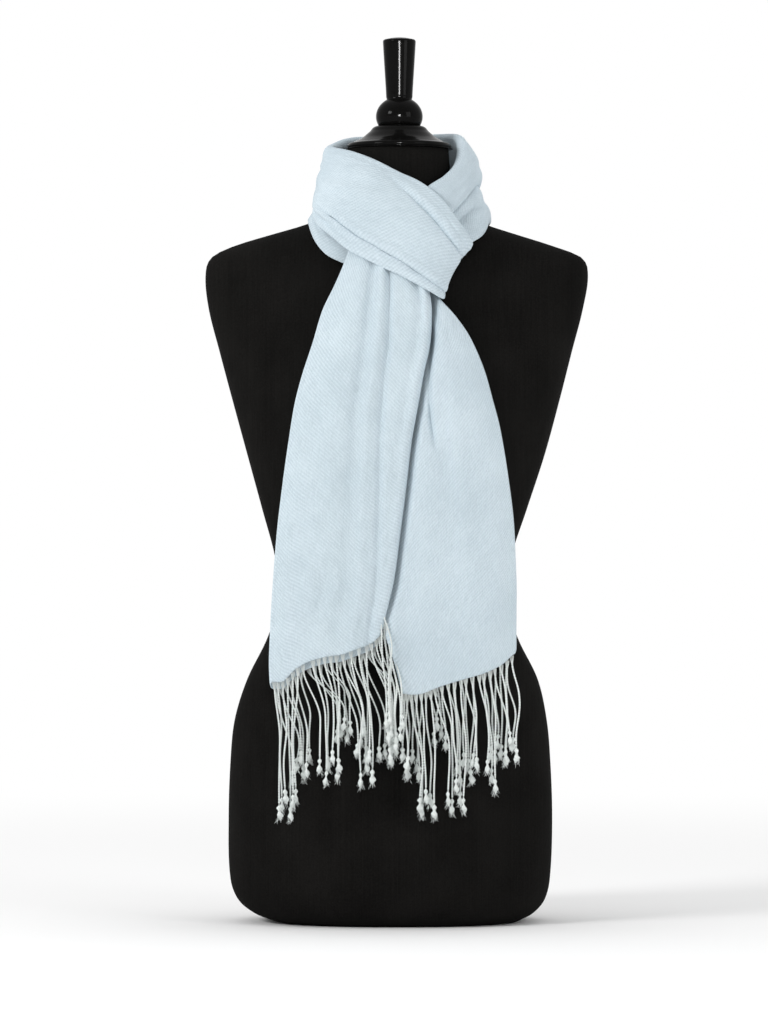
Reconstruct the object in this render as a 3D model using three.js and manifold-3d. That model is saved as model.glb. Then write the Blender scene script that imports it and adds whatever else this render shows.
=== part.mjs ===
// A pashmina shawl looped round the neck of a dress form, its two tails hanging in front with knotted fringe.
// Millimetres, +Z up, the front faces -Y. The origin is on the floor, under the middle of the form's waist.
import * as THREE from "three";
import { mergeVertices } from "three/addons/utils/BufferGeometryUtils.js";
import Module from "manifold-3d";

const wasm = await Module();
wasm.setup();

// Driving dimensions
const CLOTH = 2.0; // thickness of one stretch of folded cloth
const BAND_CLOTH = 2.6; // the wrap round the neck is folded more often
const LEAF_GAP = 6; // from the front leaf of a folded tail to its back leaf
const SEAM_GAP = 0.8; // between a hem and the strip that holds its fringe
const STRAND_RADIUS = 1.1;
const KNOT_RADIUS = 2.8;
const STRIP_HEIGHT = 5;

const COLOURS = { cloth: 0xdbe8ee, fringe: 0xd6dde0, jersey: 0x141312, lacquer: 0x0a0a0a };

// Torso: a row for each section, from the flat base to the top of the neck.
const TORSO = [
  { z: 0, centre: 1, halfWidth: 122, front: 78, back: 82, power: 2.3 },
  { z: 8, centre: -2, halfWidth: 141, front: 92, back: 96, power: 2.3 },
  { z: 22, centre: -4.6, halfWidth: 156, front: 101, back: 106, power: 2.3 },
  { z: 45, centre: -6, halfWidth: 163, front: 106, back: 112, power: 2.3 },
  { z: 105, centre: -5.7, halfWidth: 165, front: 109, back: 120, power: 2.3 },
  { z: 165, centre: -5.7, halfWidth: 163, front: 107, back: 121, power: 2.3 },
  { z: 206, centre: -5.4, halfWidth: 159, front: 102, back: 113, power: 2.3 },
  { z: 247, centre: -3.6, halfWidth: 148, front: 95, back: 100, power: 2.3 },
  { z: 288, centre: -3.5, halfWidth: 128, front: 87, back: 86, power: 2.2 },
  { z: 328, centre: -3.5, halfWidth: 115.5, front: 82, back: 77, power: 2.2 },
  { z: 369, centre: -3, halfWidth: 120, front: 82, back: 76, power: 2.2 },
  { z: 420, centre: -1.5, halfWidth: 135, front: 88, back: 82, power: 2.2 },
  { z: 475, centre: 0, halfWidth: 151.5, front: 97, back: 91, power: 2.3 },
  { z: 532, centre: 0, halfWidth: 167, front: 105, back: 99, power: 2.4 },
  { z: 580, centre: -0.3, halfWidth: 179.5, front: 97, back: 103, power: 2.4 },
  { z: 625, centre: -0.2, halfWidth: 191, front: 82, back: 99, power: 2.4 },
  { z: 660, centre: 0.8, halfWidth: 195, front: 66, back: 86, power: 2.4 },
  { z: 677, centre: 0.5, halfWidth: 188, front: 58, back: 78, power: 2.3 },
  { z: 688, centre: -2.5, halfWidth: 163, front: 54, back: 72, power: 2.2 },
  { z: 699, centre: -2, halfWidth: 128, front: 52, back: 67, power: 2.0 },
  { z: 708, centre: -0.5, halfWidth: 98, front: 51, back: 63, power: 2.0 },
  { z: 718, centre: 0.5, halfWidth: 72, front: 50, back: 60, power: 2.0 },
  { z: 732, centre: 1, halfWidth: 58, front: 49, back: 57, power: 2.0 },
  { z: 760, centre: 1.5, halfWidth: 54, front: 50, back: 56, power: 2.0 },
  { z: 786.5, centre: 1.5, halfWidth: 52, front: 50, back: 54, power: 2.0 },
];
const BUST = { z: 530, reach: 62, x: 78, spread: 48, depth: 15 };

// Neck cap and finial, as radius against height above the neck.
const CAP = [
  { radius: 0, z: 0 },
  { radius: 50.5, z: 0 },
  { radius: 52.8, z: 1.6 },
  { radius: 53.3, z: 3.6 },
  { radius: 51.8, z: 5.8 },
  { radius: 46, z: 7.8 },
  { radius: 38, z: 12 },
  { radius: 30.6, z: 18 },
  { radius: 23, z: 24 },
  { radius: 0, z: 24 },
];
const FINIAL = {
  ballRadius: 23.9,
  ballHalfHeight: 20.5,
  cut: 9.4,
  stemLow: 12.8,
  stemTop: 16.8,
  stemHeight: 59,
  dome: 4.5,
};
const CAP_CENTRE = { x: 3.4, y: 2 };

// The stretch that starts behind the tails, crosses the front, goes once round the neck and dives under itself.
// top and low are the band's two edges, swell is how far the cloth stands out between them, tuck how far the top
// edge is turned in towards the neck.
const UPPER_WRAP = [
  { topX: 54, topY: -83, topZ: 690, lowX: 41.8, lowY: -93, lowZ: 646, swell: -2, tuck: 3 },
  { topX: 71, topY: -86, topZ: 686, lowX: 45.5, lowY: -104, lowZ: 636, swell: -5, tuck: 3 },
  { topX: 74.5, topY: -96, topZ: 685.5, lowX: 46.5, lowY: -117, lowZ: 630.5, swell: -6, tuck: 4 },
  { topX: 62.5, topY: -98, topZ: 703, lowX: 33.5, lowY: -126, lowZ: 637.5, swell: 5, tuck: 5 },
  { topX: 44.5, topY: -87, topZ: 727.5, lowX: 7.4, lowY: -125, lowZ: 651.7, swell: 10, tuck: 6 },
  { topX: 23.5, topY: -76, topZ: 745.5, lowX: -18, lowY: -121, lowZ: 663.8, swell: 12, tuck: 7 },
  { topX: 0.5, topY: -67, topZ: 757, lowX: -46, lowY: -110, lowZ: 678.6, swell: 12, tuck: 8 },
  { topX: -24, topY: -58, topZ: 769.5, lowX: -65.5, lowY: -88, lowZ: 695, swell: 10, tuck: 9 },
  { topX: -49, topY: -42, topZ: 779, lowX: -81.5, lowY: -54, lowZ: 711, swell: 6, tuck: 10 },
  { topX: -68.5, topY: -17, topZ: 784, lowX: -83, lowY: -20, lowZ: 725, swell: 2, tuck: 12 },
  { topX: -68, topY: 17, topZ: 789.5, lowX: -82.5, lowY: 20, lowZ: 730, swell: 3, tuck: 14 },
  { topX: -47, topY: 54, topZ: 799, lowX: -62.5, lowY: 66, lowZ: 731.8, swell: 6, tuck: 15 },
  { topX: 2.8, topY: 73, topZ: 801, lowX: 2.8, lowY: 92, lowZ: 733.5, swell: 8, tuck: 16 },
  { topX: 47, topY: 56, topZ: 802.5, lowX: 64, lowY: 68, lowZ: 738, swell: 8, tuck: 16 },
  { topX: 67.5, topY: 24, topZ: 799.5, lowX: 83, lowY: 26, lowZ: 747, swell: 8, tuck: 16 },
  { topX: 71, topY: -4, topZ: 787.5, lowX: 82, lowY: -8, lowZ: 750.5, swell: 7, tuck: 14 },
  { topX: 65.5, topY: -28, topZ: 769, lowX: 77, lowY: -36, lowZ: 744.5, swell: 6, tuck: 9 },
  { topX: 52.5, topY: -50, topZ: 754, lowX: 65.5, lowY: -57, lowZ: 729.5, swell: 4, tuck: 6 },
  { topX: 34.5, topY: -65, topZ: 741.5, lowX: 51, lowY: -73, lowZ: 714.5, swell: 3, tuck: 4 },
  { topX: 17.3, topY: -71, topZ: 722.5, lowX: 34, lowY: -81, lowZ: 699, swell: 2, tuck: 3 },
];

// The lower stretch: from behind the tails to the left shoulder, round the back, and under the band again.
const LOWER_WRAP = [
  { topX: 20, topY: -74, topZ: 687, lowX: 8.3, lowY: -85, lowZ: 643, swell: 0, tuck: 2 },
  { topX: -12, topY: -74, topZ: 695, lowX: -24, lowY: -84, lowZ: 655, swell: 2, tuck: 2 },
  { topX: -38, topY: -70, topZ: 705, lowX: -50, lowY: -82, lowZ: 666.5, swell: 3, tuck: 2 },
  { topX: -58, topY: -56, topZ: 717.5, lowX: -70, lowY: -72, lowZ: 677, swell: 4, tuck: 2 },
  { topX: -69, topY: -36, topZ: 729.5, lowX: -82, lowY: -56, lowZ: 692.8, swell: 4, tuck: 2 },
  { topX: -65.5, topY: -8, topZ: 743, lowX: -88.5, lowY: -13, lowZ: 713.8, swell: 1, tuck: 2 },
  { topX: -63, topY: 31, topZ: 747, lowX: -82.6, lowY: 38, lowZ: 711.8, swell: 2, tuck: 2 },
  { topX: -37, topY: 61, topZ: 748, lowX: -48.5, lowY: 82, lowZ: 706.3, swell: 3, tuck: 2 },
  { topX: 3.8, topY: 74, topZ: 749, lowX: 3.8, lowY: 99, lowZ: 702.3, swell: 3, tuck: 2 },
  { topX: 44, topY: 60, topZ: 753, lowX: 58, lowY: 83, lowZ: 706.8, swell: 4, tuck: 2 },
  { topX: 68, topY: 28, topZ: 757, lowX: 92, lowY: 36, lowZ: 711.1, swell: 6, tuck: 2 },
  { topX: 74, topY: -8, topZ: 755, lowX: 93.5, lowY: -12, lowZ: 711.4, swell: 6, tuck: 2 },
  { topX: 66, topY: -36, topZ: 740, lowX: 86.5, lowY: -50, lowZ: 697.3, swell: 6, tuck: 2 },
  { topX: 54.5, topY: -57, topZ: 723.5, lowX: 71, lowY: -67, lowZ: 687, swell: 3, tuck: 2 },
  { topX: 42.6, topY: -65, topZ: 709, lowX: 52.8, lowY: -75, lowZ: 679, swell: 1, tuck: 2 },
  { topX: 30, topY: -70, topZ: 697, lowX: 37, lowY: -81, lowZ: 661, swell: 0, tuck: 2 },
];
const EDGE_ROLL = 4; // radius of the fold along the top edge of a wrap
const ROLL_STEPS = 4;
const UPPER_STEPS = 44;
// Shares across the upper wrap, close together where the outer layer ends and along the crease.
const UPPER_ACROSS = [0, 0.05, 0.09, 0.105, 0.2, 0.31, 0.42, 0.53, 0.64, 0.71, 0.77, 0.83, 0.91, 1];
const LEDGE = { column: 2, from: 0.08, to: 0.5, height: 1.5 };
const LOWER_ACROSS = [0, 0.14, 0.28, 0.42, 0.57, 0.72, 0.86, 1];

// Creases that run along the upper wrap: share of the band's length, share of its width there, depth and half width.
const BAND_CREASE = [
  { along: 0.1, across: 0.8, depth: 3 },
  { along: 0.16, across: 0.76, depth: 3.4 },
  { along: 0.21, across: 0.76, depth: 3 },
  { along: 0.27, across: 0.82, depth: 2 },
  { along: 0.33, across: 0.94, depth: 0.6 },
];
const CREASE_HALF_WIDTH = 0.06;

// Tails: a row for each height, outer and inner edge, how far the front leaf stands from the form's axis, and how
// far it falls back where the other tail covers it.
const LEFT_TAIL = [
  { z: 680.7, outer: -44, inner: 22, depth: 113, recess: 0 },
  { z: 664, outer: -49.7, inner: 27, depth: 118.6, recess: 0 },
  { z: 641, outer: -59.6, inner: 32, depth: 123.2, recess: 0 },
  { z: 618, outer: -70.6, inner: 34.5, depth: 124.5, recess: 0 },
  { z: 585, outer: -80.4, inner: 33, depth: 129, recess: 0 },
  { z: 554.5, outer: -90.3, inner: 26.5, depth: 134, recess: 0 },
  { z: 524, outer: -98.1, inner: 21, depth: 137, recess: 0 },
  { z: 486.5, outer: -104.1, inner: 14.3, depth: 139, recess: 0 },
  { z: 441, outer: -110.4, inner: 8.9, depth: 139, recess: 0 },
  { z: 397, outer: -115.5, inner: 3.2, depth: 138, recess: 0 },
  { z: 348.5, outer: -119.4, inner: -3.4, depth: 137, recess: 0 },
  { z: 298, outer: -122.4, inner: -15, depth: 135, recess: 0 },
  { z: 268, outer: -123.4, inner: -17.5, depth: 134, recess: 0 },
  { z: 240, outer: -122.4, inner: -18.5, depth: 133, recess: 0 },
];
const RIGHT_TAIL = [
  { z: 680.7, outer: 30, inner: -16, depth: 111, recess: 14 },
  { z: 664, outer: 33, inner: -16, depth: 114, recess: 14 },
  { z: 642, outer: 36.4, inner: -16, depth: 118, recess: 14 },
  { z: 631, outer: 39.4, inner: -15, depth: 120, recess: 14 },
  { z: 613, outer: 55, inner: -15, depth: 123, recess: 14 },
  { z: 595, outer: 67.9, inner: -14, depth: 126, recess: 13 },
  { z: 575, outer: 77.8, inner: -14, depth: 130, recess: 12 },
  { z: 554.5, outer: 85.6, inner: -14, depth: 133, recess: 11 },
  { z: 529, outer: 92.5, inner: -14, depth: 136, recess: 11 },
  { z: 498, outer: 100.4, inner: -14, depth: 138, recess: 11 },
  { z: 436, outer: 110.3, inner: -14, depth: 138, recess: 11 },
  { z: 397, outer: 114.3, inner: -14, depth: 137, recess: 11 },
  { z: 349, outer: 116.3, inner: -15, depth: 135, recess: 10 },
  { z: 320, outer: 116.4, inner: -15, depth: 134.5, recess: 8 },
  { z: 292, outer: 116.4, inner: -9.3, depth: 134, recess: 6 },
  { z: 268, outer: 116.4, inner: -1.5, depth: 133, recess: 4 },
  { z: 235, outer: 116.4, inner: 6.7, depth: 132, recess: 2 },
];
// Height of the hem across a tail, from its outer edge (0) to its inner edge (1).
const LEFT_HEM = [
  { across: 0, z: 247.3 },
  { across: 0.1, z: 248.4 },
  { across: 0.2, z: 258.6 },
  { across: 0.32, z: 266.7 },
  { across: 0.5, z: 272.9 },
  { across: 0.65, z: 274.9 },
  { across: 0.8, z: 281.1 },
  { across: 0.92, z: 286.2 },
  { across: 1, z: 294.3 },
];
const RIGHT_HEM = [
  { across: 0, z: 274.9 },
  { across: 0.1, z: 264.7 },
  { across: 0.25, z: 256.5 },
  { across: 0.42, z: 250.9 },
  { across: 0.56, z: 246.3 },
  { across: 0.7, z: 241.2 },
  { across: 0.82, z: 236.1 },
  { across: 0.92, z: 235.1 },
  { across: 1, z: 236.1 },
];
// Folds of the tails: place across the tail at its top, two fifths down and at its hem, depth at the top and at the
// hem, and half width in millimetres.
const FOLD_MIDDLE = 0.4;
const LEFT_FOLDS = [
  { top: 0.3, middle: 0.49, hem: 0.6, topDepth: 5, hemDepth: 1, halfWidth: 7 },
  { top: 0.52, middle: 0.7, hem: 0.9, topDepth: 5, hemDepth: 1.8, halfWidth: 5.5 },
  { top: 0.86, middle: 0.9, hem: 0.93, topDepth: 4, hemDepth: 0.5, halfWidth: 6 },
  { top: 0.1, middle: 0.14, hem: 0.2, topDepth: 2, hemDepth: 1.4, halfWidth: 11 },
];
const RIGHT_FOLDS = [
  { top: 0.2, middle: 0.55, hem: 0.35, topDepth: 6, hemDepth: 1.2, halfWidth: 7 },
  { top: 0.5, middle: 0.7, hem: 0.82, topDepth: 4, hemDepth: 1.8, halfWidth: 10 },
  { top: 0.75, middle: 0.8, hem: 0.88, topDepth: 3, hemDepth: 1.4, halfWidth: 12 },
];

// Bunches of fringe: the strands whose roots lie in a stretch of the hem hang together with their knots near one
// place. from and to are shares of the hem from its outer edge.
const LEFT_FRONT_BUNCHES = [
  { from: 0, to: 0.24, strands: 6, x: -108, tipZ: 111 },
  { from: 0.26, to: 0.31, strands: 1, x: -76, tipZ: 157 },
  { from: 0.38, to: 0.6, strands: 5, x: -63, tipZ: 147 },
  { from: 0.66, to: 0.88, strands: 4, x: -29, tipZ: 146 },
  { from: 0.92, to: 1, strands: 3, x: -3, tipZ: 167 },
];
const LEFT_BACK_BUNCHES = [
  { from: 0.03, to: 0.28, strands: 6, x: -94, tipZ: 146 },
  { from: 0.36, to: 0.58, strands: 5, x: -52, tipZ: 184 },
  { from: 0.66, to: 0.8, strands: 4, x: -34, tipZ: 172 },
  { from: 0.87, to: 1, strands: 5, x: -9, tipZ: 166 },
];
const RIGHT_FRONT_BUNCHES = [
  { from: 0, to: 0.16, strands: 4, x: 115, tipZ: 167 },
  { from: 0.2, to: 0.3, strands: 3, x: 94, tipZ: 136 },
  { from: 0.36, to: 0.42, strands: 2, x: 78, tipZ: 154 },
  { from: 0.46, to: 0.7, strands: 5, x: 60, tipZ: 115 },
  { from: 0.74, to: 0.93, strands: 5, x: 30, tipZ: 110 },
  { from: 0.96, to: 1, strands: 2, x: 9, tipZ: 159 },
];
const RIGHT_BACK_BUNCHES = [
  { from: 0.05, to: 0.28, strands: 5, x: 101, tipZ: 162 },
  { from: 0.34, to: 0.58, strands: 5, x: 68, tipZ: 146 },
  { from: 0.62, to: 0.78, strands: 4, x: 44, tipZ: 180 },
  { from: 0.82, to: 1, strands: 5, x: 17, tipZ: 146 },
];

// Value of one column at x, by a monotone-safe cubic through the rows (Catmull-Rom on unequal steps).
function columnAt(rows, key, column, x) {
  const rising = rows[rows.length - 1][key] > rows[0][key];
  const ordered = rising ? rows : [...rows].reverse();
  const at = THREE.MathUtils.clamp(x, ordered[0][key], ordered[ordered.length - 1][key]);
  let i = 0;
  while (i < ordered.length - 2 && at > ordered[i + 1][key]) i += 1;
  const slope = (k) => {
    const a = ordered[Math.max(k - 1, 0)];
    const b = ordered[Math.min(k + 1, ordered.length - 1)];
    return (b[column] - a[column]) / (b[key] - a[key]);
  };
  const [a, b] = [ordered[i], ordered[i + 1]];
  const span = b[key] - a[key];
  const t = (at - a[key]) / span;
  const [t2, t3] = [t * t, t * t * t];
  return (
    (2 * t3 - 3 * t2 + 1) * a[column] +
    (t3 - 2 * t2 + t) * span * slope(i) +
    (3 * t2 - 2 * t3) * b[column] +
    (t3 - t2) * span * slope(i + 1)
  );
}

// The same for rows that are evenly spaced along a stretch, share 0 to 1.
function stationAt(rows, column, share) {
  const at = THREE.MathUtils.clamp(share, 0, 1) * (rows.length - 1);
  const i = Math.min(Math.floor(at), rows.length - 2);
  const value = (k) => rows[THREE.MathUtils.clamp(k, 0, rows.length - 1)][column];
  return catmullRom(value(i - 1), value(i), value(i + 1), value(i + 2), at - i);
}

function catmullRom(a, b, c, d, t) {
  const [t2, t3] = [t * t, t * t * t];
  return 0.5 * (2 * b + (c - a) * t + (2 * a - 5 * b + 4 * c - d) * t2 + (3 * b - a - 3 * c + d) * t3);
}

const bell = (x) => Math.exp(-x * x);

// Normals of a grid of points, from the differences of its neighbours.
function gridNormals(grid) {
  return grid.map((row, i) =>
    row.map((_, j) => {
      const alongA = grid[Math.min(i + 1, grid.length - 1)][j];
      const alongB = grid[Math.max(i - 1, 0)][j];
      const acrossA = row[Math.min(j + 1, row.length - 1)];
      const acrossB = row[Math.max(j - 1, 0)];
      return alongA.clone().sub(alongB).cross(acrossA.clone().sub(acrossB)).normalize();
    }),
  );
}

// A closed wall round a grid of points: one face half a thickness out along the normals, one half a thickness in.
function wallGeometry(grid, thickness, raise = () => 0) {
  const normals = gridNormals(grid);
  const [rows, columns] = [grid.length, grid[0].length];
  const positions = [];
  const addSide = (side) =>
    grid.forEach((row, i) =>
      row.forEach((point, j) => {
        const off = side * (thickness / 2) + (side > 0 ? raise(i, j) : 0);
        positions.push(...point.clone().addScaledVector(normals[i][j], off).toArray());
      }),
    );
  addSide(1);
  addSide(-1);
  const outer = (i, j) => i * columns + j;
  const inner = (i, j) => rows * columns + i * columns + j;
  const index = [];
  const quad = (a, b, c, d) => index.push(a, b, c, a, c, d);
  for (let i = 0; i < rows - 1; i += 1) {
    for (let j = 0; j < columns - 1; j += 1) {
      quad(outer(i, j), outer(i + 1, j), outer(i + 1, j + 1), outer(i, j + 1));
      quad(inner(i, j), inner(i, j + 1), inner(i + 1, j + 1), inner(i + 1, j));
    }
    quad(outer(i, 0), inner(i, 0), inner(i + 1, 0), outer(i + 1, 0));
    const last = columns - 1;
    quad(outer(i, last), outer(i + 1, last), inner(i + 1, last), inner(i, last));
  }
  for (let j = 0; j < columns - 1; j += 1) {
    quad(outer(0, j), outer(0, j + 1), inner(0, j + 1), inner(0, j));
    const last = rows - 1;
    quad(outer(last, j), inner(last, j), inner(last, j + 1), outer(last, j + 1));
  }
  return indexed(positions, index);
}

function indexed(positions, index) {
  const geometry = new THREE.BufferGeometry();
  geometry.setAttribute("position", new THREE.Float32BufferAttribute(positions, 3));
  geometry.setIndex(index);
  geometry.computeVertexNormals();
  return geometry;
}

// A closed solid through rings of equal count, with a flat or pointed end at each side.
function loftGeometry(rings) {
  const count = rings[0].length;
  const positions = rings.flat().flatMap((point) => point.toArray());
  const index = [];
  for (let i = 0; i < rings.length - 1; i += 1) {
    for (let j = 0; j < count; j += 1) {
      const [a, b] = [i * count + j, i * count + ((j + 1) % count)];
      index.push(a, b, b + count, a, b + count, a + count);
    }
  }
  const centre = (ring) => ring.reduce((sum, p) => sum.add(p), new THREE.Vector3()).divideScalar(count);
  const [first, last] = [positions.length / 3, positions.length / 3 + 1];
  positions.push(...centre(rings[0]).toArray(), ...centre(rings[rings.length - 1]).toArray());
  const top = (rings.length - 1) * count;
  for (let j = 0; j < count; j += 1) {
    const next = (j + 1) % count;
    index.push(first, next, j, last, top + j, top + next);
  }
  return indexed(positions, index);
}

// Form

// One ring of the torso: a superellipse with a front and a back depth, and the bust standing out of the front.
function torsoRing(z, count) {
  const at = (column) => columnAt(TORSO, "z", column, z);
  const exponent = 2 / at("power");
  return Array.from({ length: count }, (_, k) => {
    const angle = (2 * Math.PI * k) / count;
    const [c, s] = [Math.cos(angle), Math.sin(angle)];
    const x = at("halfWidth") * Math.sign(c) * Math.abs(c) ** exponent;
    const depth = s < 0 ? at("front") : at("back");
    const bust =
      s < 0 ? BUST.depth * bell((z - BUST.z) / BUST.reach) * bell((Math.abs(x) - BUST.x) / BUST.spread) : 0;
    const y = depth * Math.sign(s) * Math.abs(s) ** exponent - bust * Math.abs(s);
    return new THREE.Vector3(x + at("centre"), y, z);
  });
}

function torsoGeometry(count = 28) {
  return loftGeometry(TORSO.map((row) => torsoRing(row.z, count)));
}

const NECK_Z = TORSO[TORSO.length - 1].z;
const CAP_GAP = 0.3;

function capGeometry(segments = 24) {
  return new THREE.LatheGeometry(CAP.map((row) => new THREE.Vector2(row.radius, row.z)), segments);
}

// Ball and tapered grip, turned from one piece of wood.
function finialGeometry(segments = 20) {
  const f = FINIAL;
  const stemAngle = Math.acos(f.stemLow / f.ballRadius);
  const cutAngle = -Math.asin(f.cut / f.ballHalfHeight);
  const points = [new THREE.Vector2(0, 0)];
  const steps = 7;
  for (let k = 0; k <= steps; k += 1) {
    const angle = THREE.MathUtils.lerp(cutAngle, stemAngle, k / steps);
    points.push(new THREE.Vector2(f.ballRadius * Math.cos(angle), f.ballHalfHeight * Math.sin(angle) + f.cut));
  }
  const stemZ = points[points.length - 1].y;
  points.push(new THREE.Vector2(f.stemTop, stemZ + f.stemHeight));
  points.push(new THREE.Vector2(f.stemTop * 0.7, stemZ + f.stemHeight + f.dome * 0.75));
  points.push(new THREE.Vector2(0, stemZ + f.stemHeight + f.dome));
  return new THREE.LatheGeometry(points, segments);
}

// Wraps

// Middle surface of a wrap: share along it, then across from the low edge to the top and over the rolled edge.
function wrapGrid(rows, steps, acrossShares, crease) {
  const edge = (name, share) =>
    new THREE.Vector3(...["X", "Y", "Z"].map((axis) => stationAt(rows, name + axis, share)));
  return Array.from({ length: steps + 1 }, (_, i) => {
    const share = i / steps;
    const [low, top] = [edge("low", share), edge("top", share)];
    const ahead = edge("low", Math.min(share + 0.01, 1)).add(edge("top", Math.min(share + 0.01, 1)));
    const behind = edge("low", Math.max(share - 0.01, 0)).add(edge("top", Math.max(share - 0.01, 0)));
    const chord = top.clone().sub(low);
    const up = chord.clone().normalize();
    const out = ahead.sub(behind).cross(up).normalize().negate();
    const swell = stationAt(rows, "swell", share);
    const line = [];
    for (const s of acrossShares) {
      const bulge = swell * Math.sin(Math.PI * s ** 0.8) - crease(share, s);
      line.push(low.clone().addScaledVector(chord, s).addScaledVector(out, bulge));
    }
    const hub = top.clone().addScaledVector(out, -EDGE_ROLL);
    for (let k = 1; k <= ROLL_STEPS; k += 1) {
      const angle = (Math.PI * k) / ROLL_STEPS;
      const rim = hub.clone().addScaledVector(out, EDGE_ROLL * Math.cos(angle));
      line.push(rim.addScaledVector(up, EDGE_ROLL * Math.sin(angle)));
    }
    line.push(line[line.length - 1].clone().addScaledVector(up, -stationAt(rows, "tuck", share)));
    return line;
  });
}

function bandCrease(share, s) {
  const rows = BAND_CREASE;
  if (share < rows[0].along - 0.05 || share > rows[rows.length - 1].along + 0.03) return 0;
  const at = (column) => columnAt(rows, "along", column, share);
  return at("depth") * bell((s - at("across")) / CREASE_HALF_WIDTH);
}

// The outer layer of the band stands a ledge's height over the layer below it.
function bandLedge(i, j) {
  const share = i / UPPER_STEPS;
  const covered = j > LEDGE.column && j < UPPER_ACROSS.length - 1;
  return covered && share > LEDGE.from && share < LEDGE.to ? LEDGE.height : 0;
}

// Tails

const hemAt = (tail, across) => columnAt(tail.hem, "across", "z", across);

// Place across of a fold at a share down the tail: the parabola through its three places.
function foldCentre(fold, down) {
  const m = FOLD_MIDDLE;
  const top = (fold.top * (down - m) * (down - 1)) / m;
  const middle = (fold.middle * down * (down - 1)) / (m * (m - 1));
  const hem = (fold.hem * down * (down - m)) / (1 - m);
  return top + middle + hem;
}

// Front leaf of a tail at a share across it (0 outer, 1 inner) and a share down it (0 top, 1 hem).
function leafPoint(tail, across, down, back) {
  const topZ = tail.rows[0].z;
  const z = THREE.MathUtils.lerp(topZ, hemAt(tail, across) + back.lift, down);
  const at = (column) => columnAt(tail.rows, "z", column, z);
  const width = Math.abs(at("inner") - at("outer"));
  const x = THREE.MathUtils.lerp(at("outer"), at("inner"), across);
  const falls = tail.edgeFall * Math.max(0, 1 - 2 * across) ** 3 * Math.min(1, width / 100);
  const cover = columnAt(LEFT_TAIL, "z", "inner", z) + COVER_REACH;
  const recess = at("recess") * THREE.MathUtils.smoothstep(cover - x, 0, COVER_REACH);
  const folds = tail.folds.reduce((sum, fold) => {
    const centre = foldCentre(fold, down);
    const depth = THREE.MathUtils.lerp(fold.topDepth, fold.hemDepth, Math.sqrt(down));
    return sum + back.foldShare * depth * bell(((across - centre) * width) / fold.halfWidth);
  }, 0);
  return new THREE.Vector3(x, -at("depth") + falls + recess + folds + back.offset, z);
}

// The right tail starts to fall back this far beyond the left tail's inner edge.
const COVER_REACH = 11;
const FRONT = { offset: 0, lift: 0, foldShare: 1, width: 1, across: 18 };
const BACK_ACROSS = 10;
// Heights of a tail's rows as shares of its length, closest where it leaves the wrap.
const DOWN_SHARES = [0, 0.05, 0.09, 0.12, 0.15, 0.19, 0.25, 0.33, 0.43, 0.55, 0.68, 0.84, 1];

// A tail is one folded strip: its front leaf, the fold down its outer edge, and its back leaf.
function tailGrid(tail, foldSteps = 4) {
  const side = Math.sign(tail.rows[0].outer);
  return DOWN_SHARES.map((down) => {
    const line = [];
    for (let j = FRONT.across; j >= 0; j -= 1) line.push(leafPoint(tail, j / FRONT.across, down, FRONT));
    const outer = line[line.length - 1];
    const radius = LEAF_GAP / 2;
    const lift = tail.back.lift * down;
    for (let k = 1; k < foldSteps; k += 1) {
      const angle = (Math.PI * k) / foldSteps;
      const x = outer.x + side * radius * 0.8 * Math.sin(angle);
      line.push(new THREE.Vector3(x, outer.y + radius * (1 - Math.cos(angle)), outer.z + (lift * k) / foldSteps));
    }
    for (let j = 0; j <= BACK_ACROSS; j += 1) {
      line.push(leafPoint(tail, (tail.back.width * j) / BACK_ACROSS, down, { ...tail.back, lift }));
    }
    return line;
  });
}

const LEFT = {
  rows: LEFT_TAIL,
  hem: LEFT_HEM,
  folds: LEFT_FOLDS,
  edgeFall: 12,
  back: { offset: LEAF_GAP, lift: -7, foldShare: 0.5, width: 0.96, across: BACK_ACROSS },
};
const RIGHT = {
  rows: RIGHT_TAIL,
  hem: RIGHT_HEM,
  folds: RIGHT_FOLDS,
  edgeFall: 10,
  back: { offset: LEAF_GAP, lift: 7, foldShare: 0.5, width: 1, across: BACK_ACROSS },
};

// Fringe

// Three-sided strand from its root to its knotted tip.
function strandGeometry(root, tip, phase, sides = 3) {
  const shares = [0, 0.22, 0.5, 0.72, 0.9, 0.945, 1];
  const radii = [1, 1, 1, 1, 1, KNOT_RADIUS / STRAND_RADIUS, 1.4];
  const rings = shares.map((share, k) => {
    const gathered = THREE.MathUtils.smoothstep(share, 0, 0.72);
    const x = THREE.MathUtils.lerp(root.x, tip.x, gathered);
    const y = THREE.MathUtils.lerp(root.y, tip.y, gathered);
    const z = THREE.MathUtils.lerp(root.z, tip.z, share);
    const radius = STRAND_RADIUS * radii[k];
    return Array.from({ length: sides }, (_, n) => {
      const angle = phase - (2 * Math.PI * n) / sides;
      return new THREE.Vector3(x + radius * Math.cos(angle), y + radius * Math.sin(angle), z);
    });
  });
  return loftGeometry(rings);
}

const STRAND_STEP = 3.5; // between neighbours of one bunch, side to side
const STAGGER = { depth: 2.2, drop: 9, count: 3 };

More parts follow.
